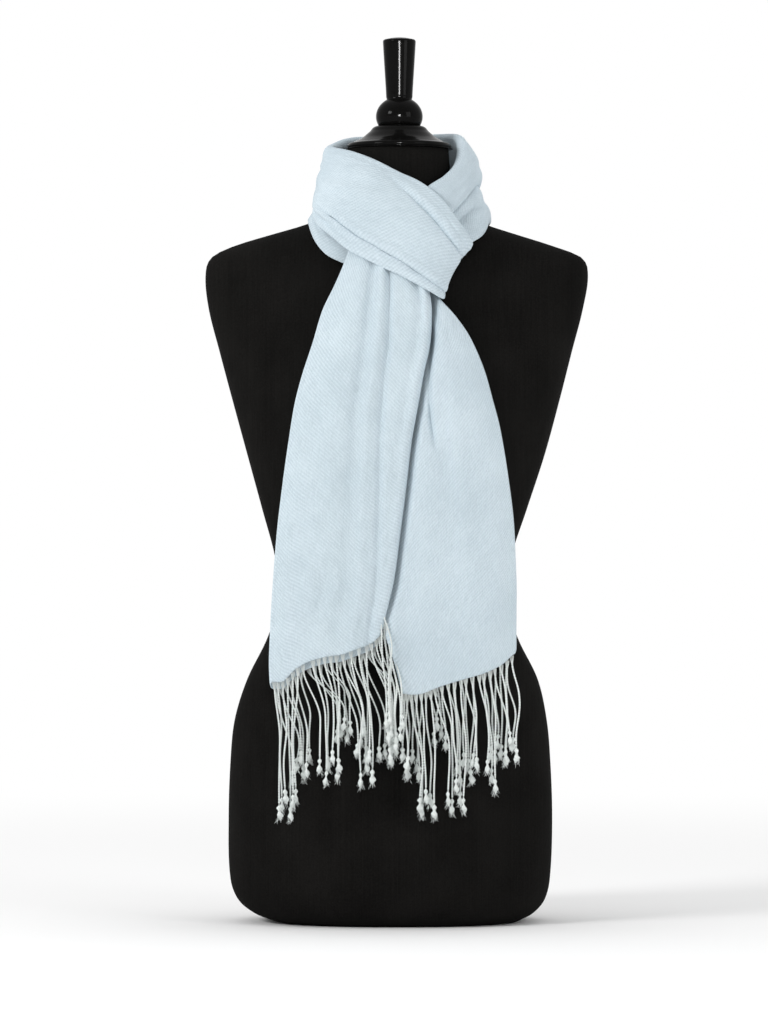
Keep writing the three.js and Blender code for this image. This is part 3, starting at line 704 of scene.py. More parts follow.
@dataclass
class DressForm:
    """A limbless torso in black jersey with a flat base, and its turned neck cap and finial."""

    sections: Table = Table(
        "z centre half front back power",
        (0, 1, 122, 78, 82, 2.3),
        (8, -2, 141, 92, 96, 2.3),
        (22, -4.6, 156, 101, 106, 2.3),
        (45, -6, 163, 106, 112, 2.3),
        (105, -5.7, 165, 109, 120, 2.3),
        (165, -5.7, 163, 107, 121, 2.3),
        (206, -5.4, 159, 102, 113, 2.3),
        (247, -3.6, 148, 95, 100, 2.3),
        (288, -3.5, 128, 87, 86, 2.2),
        (328, -3.5, 115.5, 82, 77, 2.2),
        (369, -3, 120, 82, 76, 2.2),
        (420, -1.5, 135, 88, 82, 2.2),
        (475, 0, 151.5, 97, 91, 2.3),
        (532, 0, 167, 105, 99, 2.4),
        (580, -0.3, 179.5, 97, 103, 2.4),
        (625, -0.2, 191, 82, 99, 2.4),
        (660, 0.8, 195, 66, 86, 2.4),
        (677, 0.5, 188, 58, 78, 2.3),
        (688, -2.5, 163, 54, 72, 2.2),
        (699, -2, 128, 52, 67, 2.0),
        (708, -0.5, 98, 51, 63, 2.0),
        (718, 0.5, 72, 50, 60, 2.0),
        (732, 1, 58, 49, 57, 2.0),
        (760, 1.5, 54, 50, 56, 2.0),
        (786.5, 1.5, 52, 50, 54, 2.0),
    )
    bust_height: float = 530
    bust_reach: float = 62
    bust_side: float = 78
    bust_spread: float = 48
    bust_depth: float = 15
    around: int = 160
    base_round: float = 45
    base_levels: int = 26
    levels: int = 150
    cap_centre: tuple[float, float] = (3.4, 2.0)
    cap_foot: float = 786.8
    cap_profile: tuple[tuple[float, float], ...] = (
        (0, 0),
        (50.4, 0),
        (52.6, 1.4),
        (53.3, 3.5),
        (52, 5.7),
        (49.4, 6.6),
        (46, 7.9),
        (38, 12),
        (30.6, 18),
        (23, 24),
        (0, 24),
    )
    cap_height: float = 24
    cap_steps: int = 8
    cap_flats: tuple[float, float] = (48, 22.5)
    cap_segments: int = 96
    finial_segments: int = 72
    finial_gap: float = 0.3
    ball_radius: float = 23.9
    ball_half_height: float = 20.5
    ball_cut: float = 9.4
    grip_low: float = 12.8
    grip_top: float = 16.8
    grip_height: float = 59
    grip_bend: float = 0.85
    grip_fillet: tuple[float, float] = (0.56, 9)
    grip_dome: float = 4.5
    edge_round: tuple[float, float] = (2.2, 2.4)

    def torso(self) -> bpy.types.Object:
        """Build the torso, a stack of superellipses with a front and a back depth and the bust standing out.

        Returns:
            The torso.
        """
        top = self.sections.values["z"][-1]
        low = np.linspace(0, 1, self.base_levels) ** 1.6 * self.base_round
        z = np.concatenate([[0, 0], low, np.linspace(self.base_round, top, self.levels)[1:], [top]])
        shrink = np.concatenate([[0, 0.5], np.ones(len(z) - 3), [0]])[:, None]
        turn = np.linspace(0, 2 * np.pi, self.around, endpoint=False)[None, :]
        cos, sin = np.cos(turn), np.sin(turn)
        centre, half, front, back, power = (
            self.sections.by("z", name, z)[:, None] for name in ("centre", "half", "front", "back", "power")
        )
        x = half * np.sign(cos) * np.abs(cos) ** (2 / power)
        depth = np.where(sin < 0, front, back)
        height = z[:, None]
        swell = self.bust_depth * bell((height - self.bust_height) / self.bust_reach)
        side = bell((np.abs(x) - self.bust_side) / self.bust_spread)
        bust = np.where(sin < 0, swell * side, 0)
        y = depth * np.sign(sin) * np.abs(sin) ** (2 / power) - bust * np.abs(sin)
        points = np.stack(np.broadcast_arrays(x * shrink + centre, y * shrink, height), axis=2) * MM
        return mesh_object("torso", points.reshape(-1, 3), ring_quads(len(z), self.around))

    def cap(self) -> bpy.types.Object:
        """Build the neck cap: a flared cone with a beaded rim."""
        centre = np.array([*self.cap_centre, self.cap_foot]) * MM
        under, over = self.cap_flats
        curve = smooth_profile(self.cap_profile, self.cap_steps)[self.cap_steps : -self.cap_steps]
        foot = np.array([[0, 0], [under, 0]]) * MM
        crown = np.array([[over, self.cap_height], [0, self.cap_height]]) * MM
        return lathe("turned-cap", np.concatenate([foot, curve, crown]), centre, self.cap_segments)

    def finial(self) -> bpy.types.Object:
        """Build the ball and its tapered grip.

        The ball's profile is an ellipse cut off at its foot. The grip widens almost evenly, with a small
        fillet at its foot and a low dome on top.
        """
        cut = -math.asin(self.ball_cut / self.ball_half_height)
        stem = math.acos(self.grip_low / self.ball_radius)
        angle = np.linspace(cut, stem, 28)
        half = self.ball_half_height
        ball = np.stack([self.ball_radius * np.cos(angle), half * np.sin(angle) + self.ball_cut], axis=1)
        t = np.linspace(0, 1, 24)[1:]
        flare, fade = self.grip_fillet
        grip_radius = self.grip_low + (self.grip_top - self.grip_low) * t**self.grip_bend
        grip_radius = grip_radius + flare * np.exp(-t * fade)
        grip = np.stack([grip_radius, ball[-1, 1] + self.grip_height * t], axis=1)
        edge, rise = self.edge_round
        flat = self.grip_top - edge
        bend = np.linspace(0, np.pi / 2, 12)[1:]
        dome = np.stack([flat + edge * np.cos(bend), grip[-1, 1] + rise * np.sin(bend)], axis=1)
        crown = np.linspace(1, 0, 10)[1:]
        top = np.stack([flat * crown, dome[-1, 1] + (self.grip_dome - rise) * (1 - crown**2)], axis=1)
        profile = np.concatenate([[[0, 0]], ball, grip, dome, top]) * MM
        foot = self.cap_foot + self.cap_height + self.finial_gap
        centre = np.array([*self.cap_centre, foot]) * MM
        return lathe("turned-finial", profile, centre, self.finial_segments)

    def build(self, finishes: Finishes) -> None:
        """Build the three pieces and give them their finishes.

        Args:
            finishes: the materials.
        """
        place(self.torso(), Slot.JERSEY, finishes, "form_torso")
        place(self.cap(), Slot.LACQUER, finishes, "neck_cap")
        place(self.finial(), Slot.LACQUER, finishes, "finial")


# The wraps


@dataclass(frozen=True)
class Ledge:
    """The edge of the band's outer layer, which ends a little above the layer below it."""

    start: float = 0.06
    end: float = 0.5
    at_right: float = 0.075
    at_left: float = 0.105
    climb: tuple[float, float] = (0.14, 0.36)
    height: float = 1.4
    rise: tuple[float, float] = (-0.004, 0.012)
    notch: float = 0.9
    notch_width: float = 0.009

    def heights(self, along: Array, across: Array) -> Array:
        """Give the step: it rises over a short stretch at its place across the band, behind a narrow notch.

        Args:
            along: share along the wrap.
            across: share across it, from its low edge.

        Returns:
            Height in metres.
        """
        place_across = self.at_right + (self.at_left - self.at_right) * smoothstep(along, *self.climb)
        window = smoothstep(along, self.start, self.start + 0.03) * smoothstep(self.end - along, 0, 0.04)
        off = across - place_across
        low, high = self.rise
        step = self.height * smoothstep(off, low, high) * (1 - smoothstep(across, 0.93, 1.0))
        groove = self.notch * bell((off - low) / self.notch_width)
        return window * (step - groove) * MM


@dataclass
class Wrap:
    """One stretch of folded cloth round the neck, between a low edge and a rolled top edge."""

    name: str
    rows: Table
    flat: tuple[float, float]
    steps: int
    creases: tuple[Crease, ...] = ()
    ledge: Ledge | None = None
    half: float = 1.3
    roll: float = 4.0
    across: int = 64
    roll_steps: int = 12
    tuck_steps: int = 8
    lining: float = 0.0
    inside_relief: float = 0.35
    end_thickness: float = 0.45
    unevenness: float = 0.45

    def edge(self, which: str, share: Array) -> Array:
        """Give the points of the wrap's low or top edge at shares along it."""
        return np.stack([self.rows.along(which + axis, share) for axis in "XYZ"], axis=1) * MM

    def middle(self) -> tuple[Array, Array, Array, Array]:
        """Work out the middle surface.

        Each row runs straight from the low edge to the top edge and swells outwards as a sine of the share
        across. At the top it turns inwards over half a circle and ends in a tuck, which the lining lengthens
        at the back.

        Returns:
            The points, the outward directions, and the shares along and across.
        """
        along = np.linspace(0, 1, self.steps + 1)
        low, top = self.edge("low", along), self.edge("top", along)
        ahead, behind = np.minimum(along + 0.01, 1), np.maximum(along - 0.01, 0)
        travel = sum(self.edge(which, ahead) - self.edge(which, behind) for which in ("low", "top"))
        chord = top - low
        up = unit(chord)
        out = -unit(np.cross(travel, up))
        share = np.linspace(0, 1, self.across + 1)
        swell = self.rows.along("swell", along)[:, None] * MM * np.sin(np.pi * share[None, :] ** 0.8)
        sheet = low[:, None] + chord[:, None] * share[None, :, None] + out[:, None] * swell[..., None]
        hub = top - out * self.roll * MM
        turn = np.linspace(0, np.pi, self.roll_steps + 1)[1:][None, :, None]
        rolled = hub[:, None] + (out[:, None] * np.cos(turn) + up[:, None] * np.sin(turn)) * self.roll * MM
        tuck = self.rows.along("tuck", along)
        tuck = tuck * (1 + self.lining * smoothstep(tuck, 8, 14))
        tuck = tuck[:, None] * MM * np.linspace(0, 1, self.tuck_steps + 1)[1:]
        tucked = rolled[:, -1:] - up[:, None] * tuck[..., None]
        turned = self.roll_steps + self.tuck_steps
        outward = np.repeat(out[:, None], self.across + 1, axis=1)
        outward = np.concatenate([outward, np.zeros((len(along), turned, 3))], axis=1)
        beyond = 1 + np.arange(1, turned + 1) * 0.02
        across = np.concatenate([share, beyond])
        points = np.concatenate([sheet, rolled, tucked], axis=1)
        return points, outward, along[:, None], across[None, :]

    def build(self, finishes: Finishes) -> bpy.types.Object:
        """Build the wrap with its creases and its ledge, as a wall on its middle surface.

        Args:
            finishes: the materials.

        Returns:
            The piece.
        """
        points, outward, along, across = self.middle()
        normals = grid_normals(points, outward)
        breadth = np.linalg.norm(points[:, self.across] - points[:, 0], axis=1)[:, None]
        relief = relief_of(self.creases, along, across, breadth)
        fade = np.where(across > 1, self.inside_relief, 1) * smoothstep(across, 0, 0.03)
        soft = ripples(points, self.unevenness * MM, len(self.name))
        relief = relief + soft * smoothstep(1.1 - across, 0, 0.2)
        points = points + normals * (relief * fade)[..., None]
        outer = np.full(points.shape[:2], self.half * MM)
        if self.ledge is not None:
            outer = outer + self.ledge.heights(along, across)
        ends = np.minimum(along, 1 - along) * self.steps / 3
        thin = self.end_thickness
        taper = thin + (1 - thin) * np.sqrt(1 - (1 - np.clip(ends, 0, 1)) ** 2)
        inner = np.full(points.shape[:2], self.half * MM)
        piece = cloth_wall(self.name, points, outward, outer * taper, inner * taper)
        place(piece, Slot.CLOTH, finishes, self.name.replace("-", "_"))
        return piece


WRAP_COLUMNS = "topX topY topZ lowX lowY lowZ swell tuck"
UPPER_ROWS = Table(
    WRAP_COLUMNS,
    (54, -83, 690, 41.8, -93, 646, -2, 3),
    (71, -86, 686, 45.5, -104, 636, -5, 3),
    (74.5, -96, 685.5, 46.5, -117, 630.5, -6, 4),
    (62.5, -98, 703, 33.5, -126, 637.5, 5, 5),
    (44.5, -87, 727.5, 7.4, -125, 651.7, 10, 6),
    (23.5, -76, 745.5, -18, -121, 663.8, 12, 7),
    (0.5, -67, 757, -46, -110, 678.6, 12, 8),
    (-24, -58, 769.5, -65.5, -88, 695, 10, 9),
    (-49, -42, 779, -81.5, -54, 711, 6, 10),
    (-68.5, -17, 784, -83, -20, 725, 2, 12),
    (-68, 17, 789.5, -82.5, 20, 730, 3, 14),
    (-47, 54, 799, -62.5, 66, 731.8, 6, 15),
    (2.8, 73, 801, 2.8, 92, 733.5, 8, 16),
    (47, 56, 802.5, 64, 68, 738, 8, 16),
    (67.5, 24, 799.5, 83, 26, 747, 8, 16),
    (71, -4, 787.5, 82, -8, 750.5, 7, 14),
    (65.5, -28, 769, 77, -36, 744.5, 6, 9),
    (52.5, -50, 754, 65.5, -57, 729.5, 4, 6),
    (34.5, -65, 741.5, 51, -73, 714.5, 3, 4),
    (17.3, -71, 722.5, 34, -81, 699, 2, 3),
)
LOWER_ROWS = Table(
    WRAP_COLUMNS,
    (20, -74, 687, 8.3, -85, 643, 0, 2),
    (-12, -74, 695, -24, -84, 655, 2, 2),
    (-38, -70, 705, -50, -82, 666.5, 3, 2),
    (-58, -56, 717.5, -70, -72, 677, 4, 2),
    (-69, -36, 729.5, -82, -56, 692.8, 4, 2),
    (-65.5, -8, 743, -88.5, -13, 713.8, 1, 2),
    (-63, 31, 747, -82.6, 38, 711.8, 2, 2),
    (-37, 61, 748, -48.5, 82, 706.3, 3, 2),
    (3.8, 74, 749, 3.8, 99, 702.3, 3, 2),
    (44, 60, 753, 58, 83, 706.8, 4, 2),
    (68, 28, 757, 92, 36, 711.1, 6, 2),
    (74, -8, 755, 93.5, -12, 711.4, 6, 2),
    (66, -36, 740, 86.5, -50, 697.3, 6, 2),
    (54.5, -57, 723.5, 71, -67, 687, 3, 2),
    (42.6, -65, 709, 52.8, -75, 679, 1, 2),
    (30, -70, 697, 37, -81, 661, 0, 2),
)
UPPER_CREASES = (
    Crease((0.07, 0.2, 0.35), (0.78, 0.75, 0.97), 3.6, 3.8, ridge=0.45),
    Crease((0.07, 0.12, 0.2), (0.9, 0.86, 0.9), 1.6, 3.5, ridge=0.3),
    Crease((0.08, 0.25, 0.46), (0.1, 0.12, 0.21), 2.8, 2.3, ridge=0.6, fade_in=0.25),
    Crease((0.27, 0.36, 0.46), (0.04, 0.07, 0.1), 1.5, 1.8, ridge=0.5),
    Crease((0.09, 0.2, 0.42), (0.42, 0.38, 0.5), 0.9, 9, ridge=0.2),
    Crease((0.3, 0.4, 0.5), (0.75, 0.62, 0.5), 1.4, 7, ridge=0.3),
    Crease((0.34, 0.44, 0.56), (0.45, 0.36, 0.3), 1.6, 6, ridge=0.4),
    Crease((0.42, 0.5, 0.62), (0.86, 0.78, 0.7), 1.8, 6, ridge=0.4),
    Crease((0.5, 0.6, 0.7), (0.3, 0.42, 0.5), 2.2, 7, ridge=0.4),
    Crease((0.58, 0.68, 0.8), (0.72, 0.6, 0.66), 2.2, 6, ridge=0.4),
    Crease((0.66, 0.76, 0.9), (0.35, 0.4, 0.6), 2.0, 6, ridge=0.4),
    Crease((0.74, 0.82, 0.95), (0.82, 0.7, 0.55), 1.8, 5, ridge=0.4),
    Crease((0.8, 0.88, 0.97), (0.3, 0.35, 0.3), 1.3, 4, ridge=0.3),
    Crease((0.46, 0.56, 0.66), (0.7, 0.6, 0.78), 2.6, 4, ridge=0.5),
    Crease((0.52, 0.63, 0.76), (0.5, 0.38, 0.24), 2.4, 4.5, ridge=0.5),
)
LOWER_CREASES = (
    Crease((0.08, 0.2, 0.36), (0.6, 0.5, 0.62), 2.0, 5, ridge=0.4),
    Crease((0.2, 0.3, 0.42), (0.3, 0.35, 0.5), 1.6, 4.5, ridge=0.4),
    Crease((0.36, 0.48, 0.6), (0.35, 0.45, 0.4), 1.8, 5, ridge=0.4),
    Crease((0.5, 0.62, 0.74), (0.6, 0.5, 0.62), 1.8, 5, ridge=0.4),
    Crease((0.64, 0.76, 0.92), (0.35, 0.5, 0.7), 2.4, 6, ridge=0.4),
    Crease((0.74, 0.84, 0.97), (0.7, 0.62, 0.45), 1.6, 5, ridge=0.4),
)


# The tails


# Share down a tail at which a fold's middle place is given
FOLD_MIDDLE = 0.4


@dataclass(frozen=True)
class Fold:
    """A valley that runs down a tail: its places across at the top, at the fold's middle and at the hem."""

    top: float
    middle: float
    hem: float
    top_depth: float
    hem_depth: float
    half_width: float

    def depths(self, across: Array, down: Array, breadth: Array) -> Array:
        """Give the valley's depth: a bell across, on a parabola down the tail.

        The depth changes from that at the top to that at the hem as the square root of the share down.

        Args:
            across: share across the tail, 0 at its outer edge.
            down: share down the tail.
            breadth: width of the tail there, in millimetres.

        Returns:
            Depth in millimetres.
        """
        b = FOLD_MIDDLE
        line = (
            self.top * (down - b) * (down - 1) / b
            + self.middle * down * (down - 1) / (b * (b - 1))
            + self.hem * down * (down - b) / (1 - b)
        )
        depth = self.top_depth + (self.hem_depth - self.top_depth) * np.sqrt(down)
        return depth * bell((across - line) * breadth / self.half_width)


@dataclass(frozen=True)
class Leaf:
    """How one leaf of a folded tail lies against the front one."""

    face: Face
    offset: float
    lift: float
    fold_share: float
    width: float
    hang: float


@dataclass
class Tail:
    """One end of the shawl: a strip folded down its outer edge, hanging from the knot to a fringed hem."""

    name: str
    rows: Table
    hem: Table
    folds: tuple[Fold, ...]
    edge_fall: float
    front: Leaf
    back: Leaf
    flat: tuple[float, float]
    creases: tuple[Crease, ...] = ()
    cover: Table | None = None
    cover_reach: float = 11
    half: float = 1.0
    rows_down: int = 150
    hem_rows: tuple[float, ...] = (0.993, 0.996, 0.998)
    columns: int = 110
    back_columns: int = 60
    fold_points: int = 9
    inner_fall: float = 0
    inner_start: float = 0.93
    inner_share: float = 0.07
    inner_close: float = 0.6
    hem_thickness: float = 0.4
    full_breadth: float = 100
    unevenness: float = 0.6

    def top(self) -> float:
        """Give the height of the tail's upper end, in millimetres."""
        return float(self.rows.values["z"].max())

    def side(self) -> float:
        """Give 1 for the tail whose outer edge is on the right and -1 for the other."""
        return float(np.sign(self.rows.values["outer"][0]))

    def points(self, across: Array, down: Array, leaf: Leaf) -> Array:
        """Place points on a leaf, whose inner edge is rolled back over a quarter of a circle.

        A point's height is between the top and the hem, and its side place between the outer and inner edge
        at that height. Its depth is that of the row there, less what the edge, the other tail and the folds
        take back.

        Args:
            across: share across the leaf, 0 at the outer edge.
            down: share down the leaf.
            leaf: which leaf.

        Returns:
            Points in millimetres.
        """
        across, down = np.broadcast_arrays(across, down)
        z = self.top() + (self.hem.by("across", "z", across) + leaf.lift * down - self.top()) * down
        outer, inner, depth = (self.rows.by("z", key, z) for key in ("outer", "inner", "depth"))
        breadth = np.abs(inner - outer)
        x = outer + (inner - outer) * across
        narrow = np.minimum(1, breadth / self.full_breadth)
        falls = self.edge_fall * np.maximum(0, 1 - 2 * across) ** 3 * narrow
        recess = np.zeros_like(x)
        if self.cover is not None:
            reach = self.cover.by("z", "inner", z) + self.cover_reach - x
            recess = self.rows.by("z", "recess", z) * smoothstep(reach, 0, self.cover_reach)
        folds = sum((fold.depths(across, down, breadth) for fold in self.folds), np.zeros_like(x))
        relief = relief_of(self.creases, down, across, breadth * MM) / MM
        if leaf.face is Face.FRONT:
            turn = np.clip((across - self.inner_start) / self.inner_share, 0, 1)
            close = 1 - self.inner_close * smoothstep(down, 0.7, 0.95)
            rolled = self.inner_fall * (1 - np.sqrt(1 - turn**2))
            falls = falls + rolled * close * smoothstep(down, 0.02, 0.1)
        place_on = np.stack([x, 0 * x, z], axis=-1) * MM
        soft = ripples(place_on, self.unevenness, len(self.folds)) * smoothstep(1 - down, 0, 0.05)
        y = leaf.offset - depth + falls + recess + leaf.fold_share * (folds - relief) + soft
        return np.stack([x, y, z], axis=-1)

    def middle(self) -> Array:
        """Work out the middle surface: the front leaf, half a circle round the outer edge, and the back leaf.

        Returns:
            Points in metres, from the top down and from the front leaf's inner edge round to the back leaf's.
        """
        down = np.sort(np.concatenate([np.linspace(0, 1, self.rows_down), self.hem_rows]))[:, None]
        front = self.points(np.linspace(1, 0, self.columns + 1)[None, :], down, self.front)
        back = self.points(np.linspace(0, self.back.width, self.back_columns + 1)[None, :], down, self.back)
        outer, behind = front[:, -1:], back[:, :1]
        turn = np.linspace(0, np.pi, self.fold_points + 2)[1:-1][None, :, None]
        centre, radius = (outer + behind) / 2, (behind[..., 1:2] - outer[..., 1:2]) / 2
        slide = (behind - outer) * [1, 0, 1] * -np.cos(turn) / 2
        sideways = np.array([self.side(), 0, 0]) * radius * 0.8 * np.sin(turn)
        lengthwise = np.array([0, -1, 0]) * radius * np.cos(turn)
        bend = centre + slide + sideways + lengthwise
        return np.concatenate([front, bend, back], axis=1) * MM

    def build(self, finishes: Finishes) -> bpy.types.Object:
        """Build the tail as a wall on its middle surface, thin at the hem.

        Args:
            finishes: the materials.

        Returns:
            The piece.
        """
        points = self.middle()
        outward = np.zeros_like(points)
        outward[:, : self.columns, 1] = -1
        down = np.linspace(1, 0, len(points))[:, None]
        taper = self.hem_thickness + (1 - self.hem_thickness) * smoothstep(down, 0, 0.02)
        half = np.full(points.shape[:2], self.half * MM) * taper
        piece = cloth_wall(self.name, points, outward, half, half)
        place(piece, Slot.CLOTH, finishes, self.name.replace("-", "_"))
        return piece


TAIL_COLUMNS = "z outer inner depth recess"
LEFT_ROWS = Table(
    TAIL_COLUMNS,
    (680.7, -44, 22, 113, 0),
    (664, -49.7, 27, 118.6, 0),
    (641, -59.6, 32, 123.2, 0),
    (618, -70.6, 34.5, 124.5, 0),
    (585, -80.4, 33, 129, 0),
    (554.5, -90.3, 26.5, 134, 0),
    (524, -98.1, 21, 137, 0),
    (486.5, -104.1, 14.3, 139, 0),
    (441, -110.4, 8.9, 139, 0),
    (397, -115.5, 3.2, 138, 0),
    (348.5, -119.4, -3.4, 137, 0),
    (298, -122.4, -15, 135, 0),
    (268, -123.4, -17.5, 134, 0),
    (240, -122.4, -18.5, 133, 0),
)
RIGHT_ROWS = Table(
    TAIL_COLUMNS,
    (680.7, 30, -16, 111, 14),
    (664, 33, -16, 114, 14),
    (642, 36.4, -16, 118, 14),
    (631, 39.4, -15, 120, 14),
    (613, 55, -15, 123, 14),
    (595, 67.9, -14, 126, 13),
    (575, 77.8, -14, 130, 12),
    (554.5, 85.6, -14, 133, 11),
    (529, 92.5, -14, 136, 11),
    (498, 100.4, -14, 138, 11),
    (436, 110.3, -14, 138, 11),
    (397, 114.3, -14, 137, 11),
    (349, 116.3, -15, 135, 10),
    (320, 116.4, -15, 134.5, 8),
    (292, 116.4, -9.3, 134, 6),
    (268, 116.4, -1.5, 133, 4),
    (235, 116.4, 6.7, 132, 2),
)
LEFT_HEM = Table(
    "across z",
    (0, 247.7),
    (0.1, 248.7),
    (0.2, 258.9),
    (0.32, 267.1),
    (0.5, 273.2),
    (0.65, 275.3),
    (0.8, 281.4),
    (0.92, 286.5),
    (1, 294.7),
)
RIGHT_HEM = Table(
    "across z",
    (0, 275.3),
    (0.1, 265.1),
    (0.25, 256.9),
    (0.42, 251.3),
    (0.56, 246.7),
    (0.7, 241.6),
    (0.82, 236.5),
    (0.92, 235.4),
    (1, 236.5),
)
LEFT_FOLDS = (
    Fold(0.34, 0.5, 0.6, 6.5, 0.6, 6.5),
    Fold(0.53, 0.71, 0.9, 5.0, 2.6, 3.6),
    Fold(0.86, 0.9, 0.93, 3.4, 0.5, 5),
    Fold(0.1, 0.14, 0.2, 2, 1.6, 13),
    Fold(0.44, 0.6, 0.76, -2.6, -1.4, 5),
)
RIGHT_FOLDS = (
    Fold(0.3, 0.46, 0.3, 3.5, 0.8, 11),
    Fold(0.5, 0.7, 0.82, 3.6, 1.8, 11),
    Fold(0.75, 0.8, 0.88, 3, 1.4, 12),
    Fold(0.24, 0.36, 0.35, -2.4, -1.2, 10),
)
RIGHT_CREASES = (
    Crease((0.14, 0.33, 0.49), (0.3, 0.55, 0.53), 6.0, 3.0, ridge=-0.4, fade_in=0.15, fade_out=0.2),
    Crease((0.36, 0.5, 0.7), (0.56, 0.47, 0.37), 2.0, 9, ridge=-0.3, fade_in=0.3, fade_out=0.5),
    Crease((0.05, 0.16, 0.3), (0.12, 0.2, 0.22), 1.6, 5, ridge=0.4),
)
LEFT_CREASES = (
    Crease((0.04, 0.12, 0.24), (0.88, 0.9, 0.93), 1.6, 2.5, ridge=0.3),
    Crease((0.3, 0.5, 0.8), (0.2, 0.24, 0.3), 0.9, 10, ridge=0.4),
    Crease((0.75, 0.86, 0.98), (0.42, 0.4, 0.36), 1.2, 7, ridge=0.4),
)


# The fringe


@dataclass(frozen=True)
class Bunch:
    """Strands whose roots lie in one stretch of a hem and whose knots hang close together."""

    start: float
    end: float
    strands: int
    x: float
    tip: float


@dataclass(frozen=True)
class Loose:
    """A strand that hangs beside the bunches, by its root and its tip in millimetres."""

    root: tuple[float, float, float]
    tip: tuple[float, float, float]


# Least and most of a strand's sway in millimetres, its turns, its phase and where it is gathered
SWAY_RANGES = ((0.4, 2.8), (0.5, 1.4), (0, 6.28), (0.32, 0.75))


@dataclass(frozen=True)
class Strands:
    """The strands of one leaf, with the random numbers that vary them.

    The sway holds each strand's size, turns and phase of its sway, and the share down where it is gathered.
    """

    roots: Array
    tips: Array
    sway: Array
    rng: np.random.Generator

    @property
    def lengths(self) -> Array:
        """Give the strands' lengths, strands by 1."""
        return np.linalg.norm(self.tips - self.roots, axis=1)[:, None]

    def path(self, share: Array) -> Array:
        """Carry strands from root to tip: sideways they follow a smooth step, with a slow sway added.

        Args:
            share: places along the strands, as strands by places.

        Returns:
            Strands by places by 3.
        """
        span = (self.tips - self.roots)[:, None]
        gather = smoothstep(share / self.sway[:, 3:4], 0, 1)[..., None]
        flat = self.roots[:, None, :2] + span[..., :2] * gather
        z = self.roots[:, None, 2:] + span[..., 2:] * share[..., None]
        size, turns, phase = (self.sway[:, k : k + 1] for k in range(3))
        envelope = np.sin(np.pi * np.clip(share, 0, 1)) ** 1.2
        flat[..., 0] += size * envelope * np.sin(2 * np.pi * turns * share + phase)
        flat[..., 1] += 0.4 * size * envelope * np.cos(2 * np.pi * turns * share + phase)
        return np.concatenate([flat, z], axis=-1)


def tubes(centres: Array, radii: Array, sides: int, lobes: Array | None = None) -> tuple[Array, Indices]:
    """Put level rings round many paths, which close to a point at both ends.

    Args:
        centres: tubes by places by 3.
        radii: tubes by places.
        sides: points in each ring.
        lobes: turn of the three lobes of a knot at each place, or nothing for a round tube.

    Returns:
        Vertices and faces.
    """
    turn = np.linspace(0, 2 * np.pi, sides, endpoint=False)[None, None, :]
    reach = np.broadcast_to(radii[..., None], (*radii.shape, sides))
    if lobes is not None:
        reach = reach * (1 + 0.16 * np.sin(3 * turn + lobes[..., None]))
    offset = np.stack([reach * np.cos(turn), reach * np.sin(turn), np.zeros_like(reach)], axis=-1)
    rings = centres[:, :, None] + offset
    count, places = centres.shape[:2]
    base = np.arange(count)[:, None, None] * places * sides
    quads = (ring_quads(places, sides)[None] + base).reshape(-1, 4)
    return rings.reshape(-1, 3), quads


